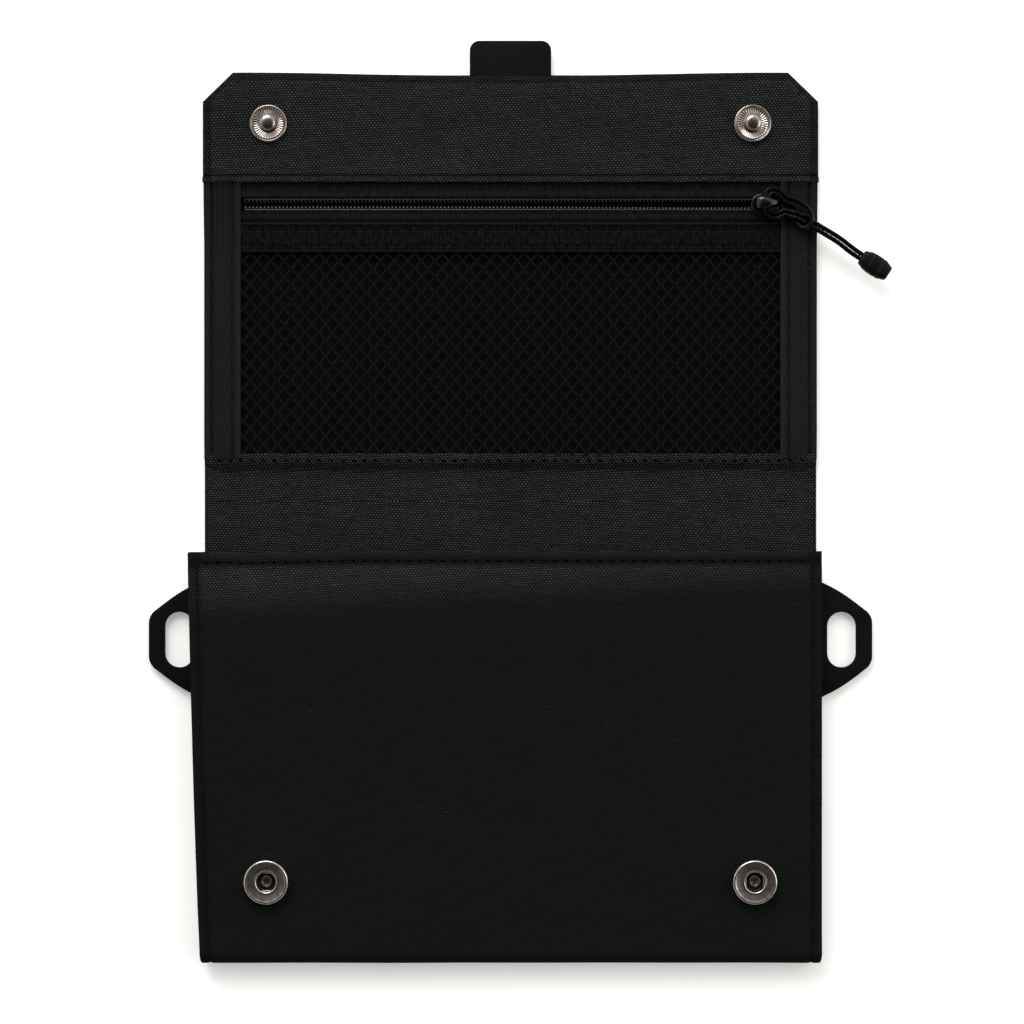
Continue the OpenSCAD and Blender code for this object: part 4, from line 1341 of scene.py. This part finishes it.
def make_snaps():
    for word in ("left", "right"):
        x, y = STUDS[word][:2]
        piece("snap_stud_" + word, *lathe(STUD, (x, y, FACE_Z), 432, flutes)[:2], "flap", NICKEL,
              "snap_nickel", ["stud_" + word])
        piece("snap_cap_" + word, *lathe(CAP[::-1], (x, y, 0.0), 96)[:2], "flap", NICKEL,
              "snap_nickel", ["stud_cap_" + word])
        x, y = SOCKETS[word][:2]
        made = piece("snap_socket_" + word, *lathe(SOCKET, (x, y, POUCH_T), 160, radial_scuffs)[:2], "pouch",
                     PINK_NICKEL, "snap_nickel", ["socket_" + word])
        # faces inside the mouth take the painted-shade metal
        made.data.materials.append(SNAP_SHADE_METAL)
        for face in made.data.polygons:
            middle = face.center / MM
            inside = math.hypot(middle[0] - x, middle[1] - y) < MOUTH_R and middle[2] < POUCH_T + 2.0
            face.material_index = 1 if inside else 0
        for node, look in (("socket_spring_", WIRE), ("socket_post_", NICKEL)):
            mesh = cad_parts[node + word].data
            mesh.materials.clear()
            mesh.materials.append(look)
        piece("post_curl_" + word, *lathe(POST_CURL, (x, y, POUCH_T), 64)[:2], "pouch", CURL, "snap_nickel")


make_snaps()


# Slider

WING_L, WING_W = 8.4, 6.6


def make_slider():
    x, y = SLIDER[0], SLIDER[1]
    bottom = box("zip_slider")[0][2]
    wing = []
    for a in np.linspace(0, 360, 72, endpoint=False):
        c, s = math.cos(math.radians(a)), math.sin(math.radians(a))
        taper = 1 - 0.16 * max(0.0, -c) ** 2
        wing.append((x + WING_L / 2 * math.copysign(abs(c) ** 0.75, c),
                     y + WING_W / 2 * taper * math.copysign(abs(s) ** 0.62, s)))
    core = [(x + 1.2 * math.cos(a), y + 0.4 * math.sin(a)) for a in np.linspace(0, 6.283, 24)[:-1]]
    for name, outline, z0, z1, edge, replaced in (
            ("slider_under", wing, bottom, bottom + 0.7, 0.28, ["zip_slider"]),
            ("slider_top", wing, 3.6, 4.3, 0.3, ()), ("slider_core", core, bottom + 0.5, 3.8, 0.05, ())):
        plate(name, outline, [], z0, z1, edge, "slider", BLACK_METAL, slot="slider_metal", replaces=replaced)
    # bridge: an arched strap from the nose to the tail
    way = [(x - 3.5, 3.9), (x - 3.45, 5.0), (x - 3.1, 6.4), (x - 2.4, 7.55), (x - 1.2, 8.05), (x, 8.1),
           (x + 1.3, 8.05), (x + 2.7, 7.5), (x + 3.5, 6.4), (x + 3.8, 5.0), (x + 3.85, 3.9)]
    line, _ = curve_through([(a, b, 0) for a, b in way], 0.3)

    def half(v):
        return 1.8 - 0.95 * smooth((v - 5.2) / 3.6)

    strap = Sheet(line[:, :2], lambda v: y - half(v), lambda v: y + half(v), 0.5, -0.5,
                  edge=1.75, cross=True)
    points, faces, _ = strap.mesh(np.linspace(0, 3.6, 25), spots(strap.length, 0.3, 0.9))
    piece("slider_bridge", points, faces, "slider", BLACK_METAL, "slider_metal")


make_slider()


# Studio

FLOOR_HALF, FLOOR_Z = 3, -0.0002  # metres
ROOM_TILT = math.radians(20)  # the room's dark top leans away from the flap's end
LIGHTS = (("key", (-0.32, 0.95, 0.70), 0.8, 11.0), ("fill", (0.90, 0.05, 0.6), 0.8, 3.5))


def make_studio():
    mesh = bpy.data.meshes.new("floor")
    corners = [(x * FLOOR_HALF, y * FLOOR_HALF, FLOOR_Z) for x, y in ((-1, -1), (1, -1), (1, 1), (-1, 1))]
    mesh.from_pydata(corners, [], [(0, 1, 2, 3)])
    floor = bpy.data.objects.new("floor", mesh)
    bpy.context.scene.collection.objects.link(floor)
    g = Graph("pale_floor", Roughness=0.95, Specular_IOR_Level=0.1, Emission_Strength=0.25)
    g.shader.inputs["Emission Color"].default_value = (1, 1, 0.98, 1)
    g.shader.inputs["Base Color"].default_value = (0.95, 0.95, 0.93, 1)
    mesh.materials.append(g.material)

    # a room that is bright all round, brightest beyond the flap, and darker overhead
    world = bpy.data.worlds.new("studio")
    world.use_nodes = True
    nodes = Nodes(world.node_tree)
    place = nodes.tree.nodes.new("ShaderNodeTexCoord")
    _, y, z = nodes.split(place.outputs["Generated"])
    up = z * math.cos(ROOM_TILT) + y * -math.sin(ROOM_TILT)
    background = nodes.tree.nodes["Background"]
    nodes.put(background.inputs["Strength"], up.ramp(0.42, 0.96, 1.0, 0.06) * (y * 0.5 + 1.0))
    background.inputs["Color"].default_value = (1, 1, 0.985, 1)
    bpy.context.scene.world = world
    for name, place, size, power in LIGHTS:
        light = bpy.data.lights.new(name, "AREA")
        light.size, light.energy = size, power
        lamp = bpy.data.objects.new(name, light)
        lamp.location = place
        lamp.rotation_euler = (-Vector(place)).to_track_quat("-Z", "Y").to_euler()
        bpy.context.scene.collection.objects.link(lamp)
    bpy.context.scene.view_settings.view_transform = "Standard"


make_studio()
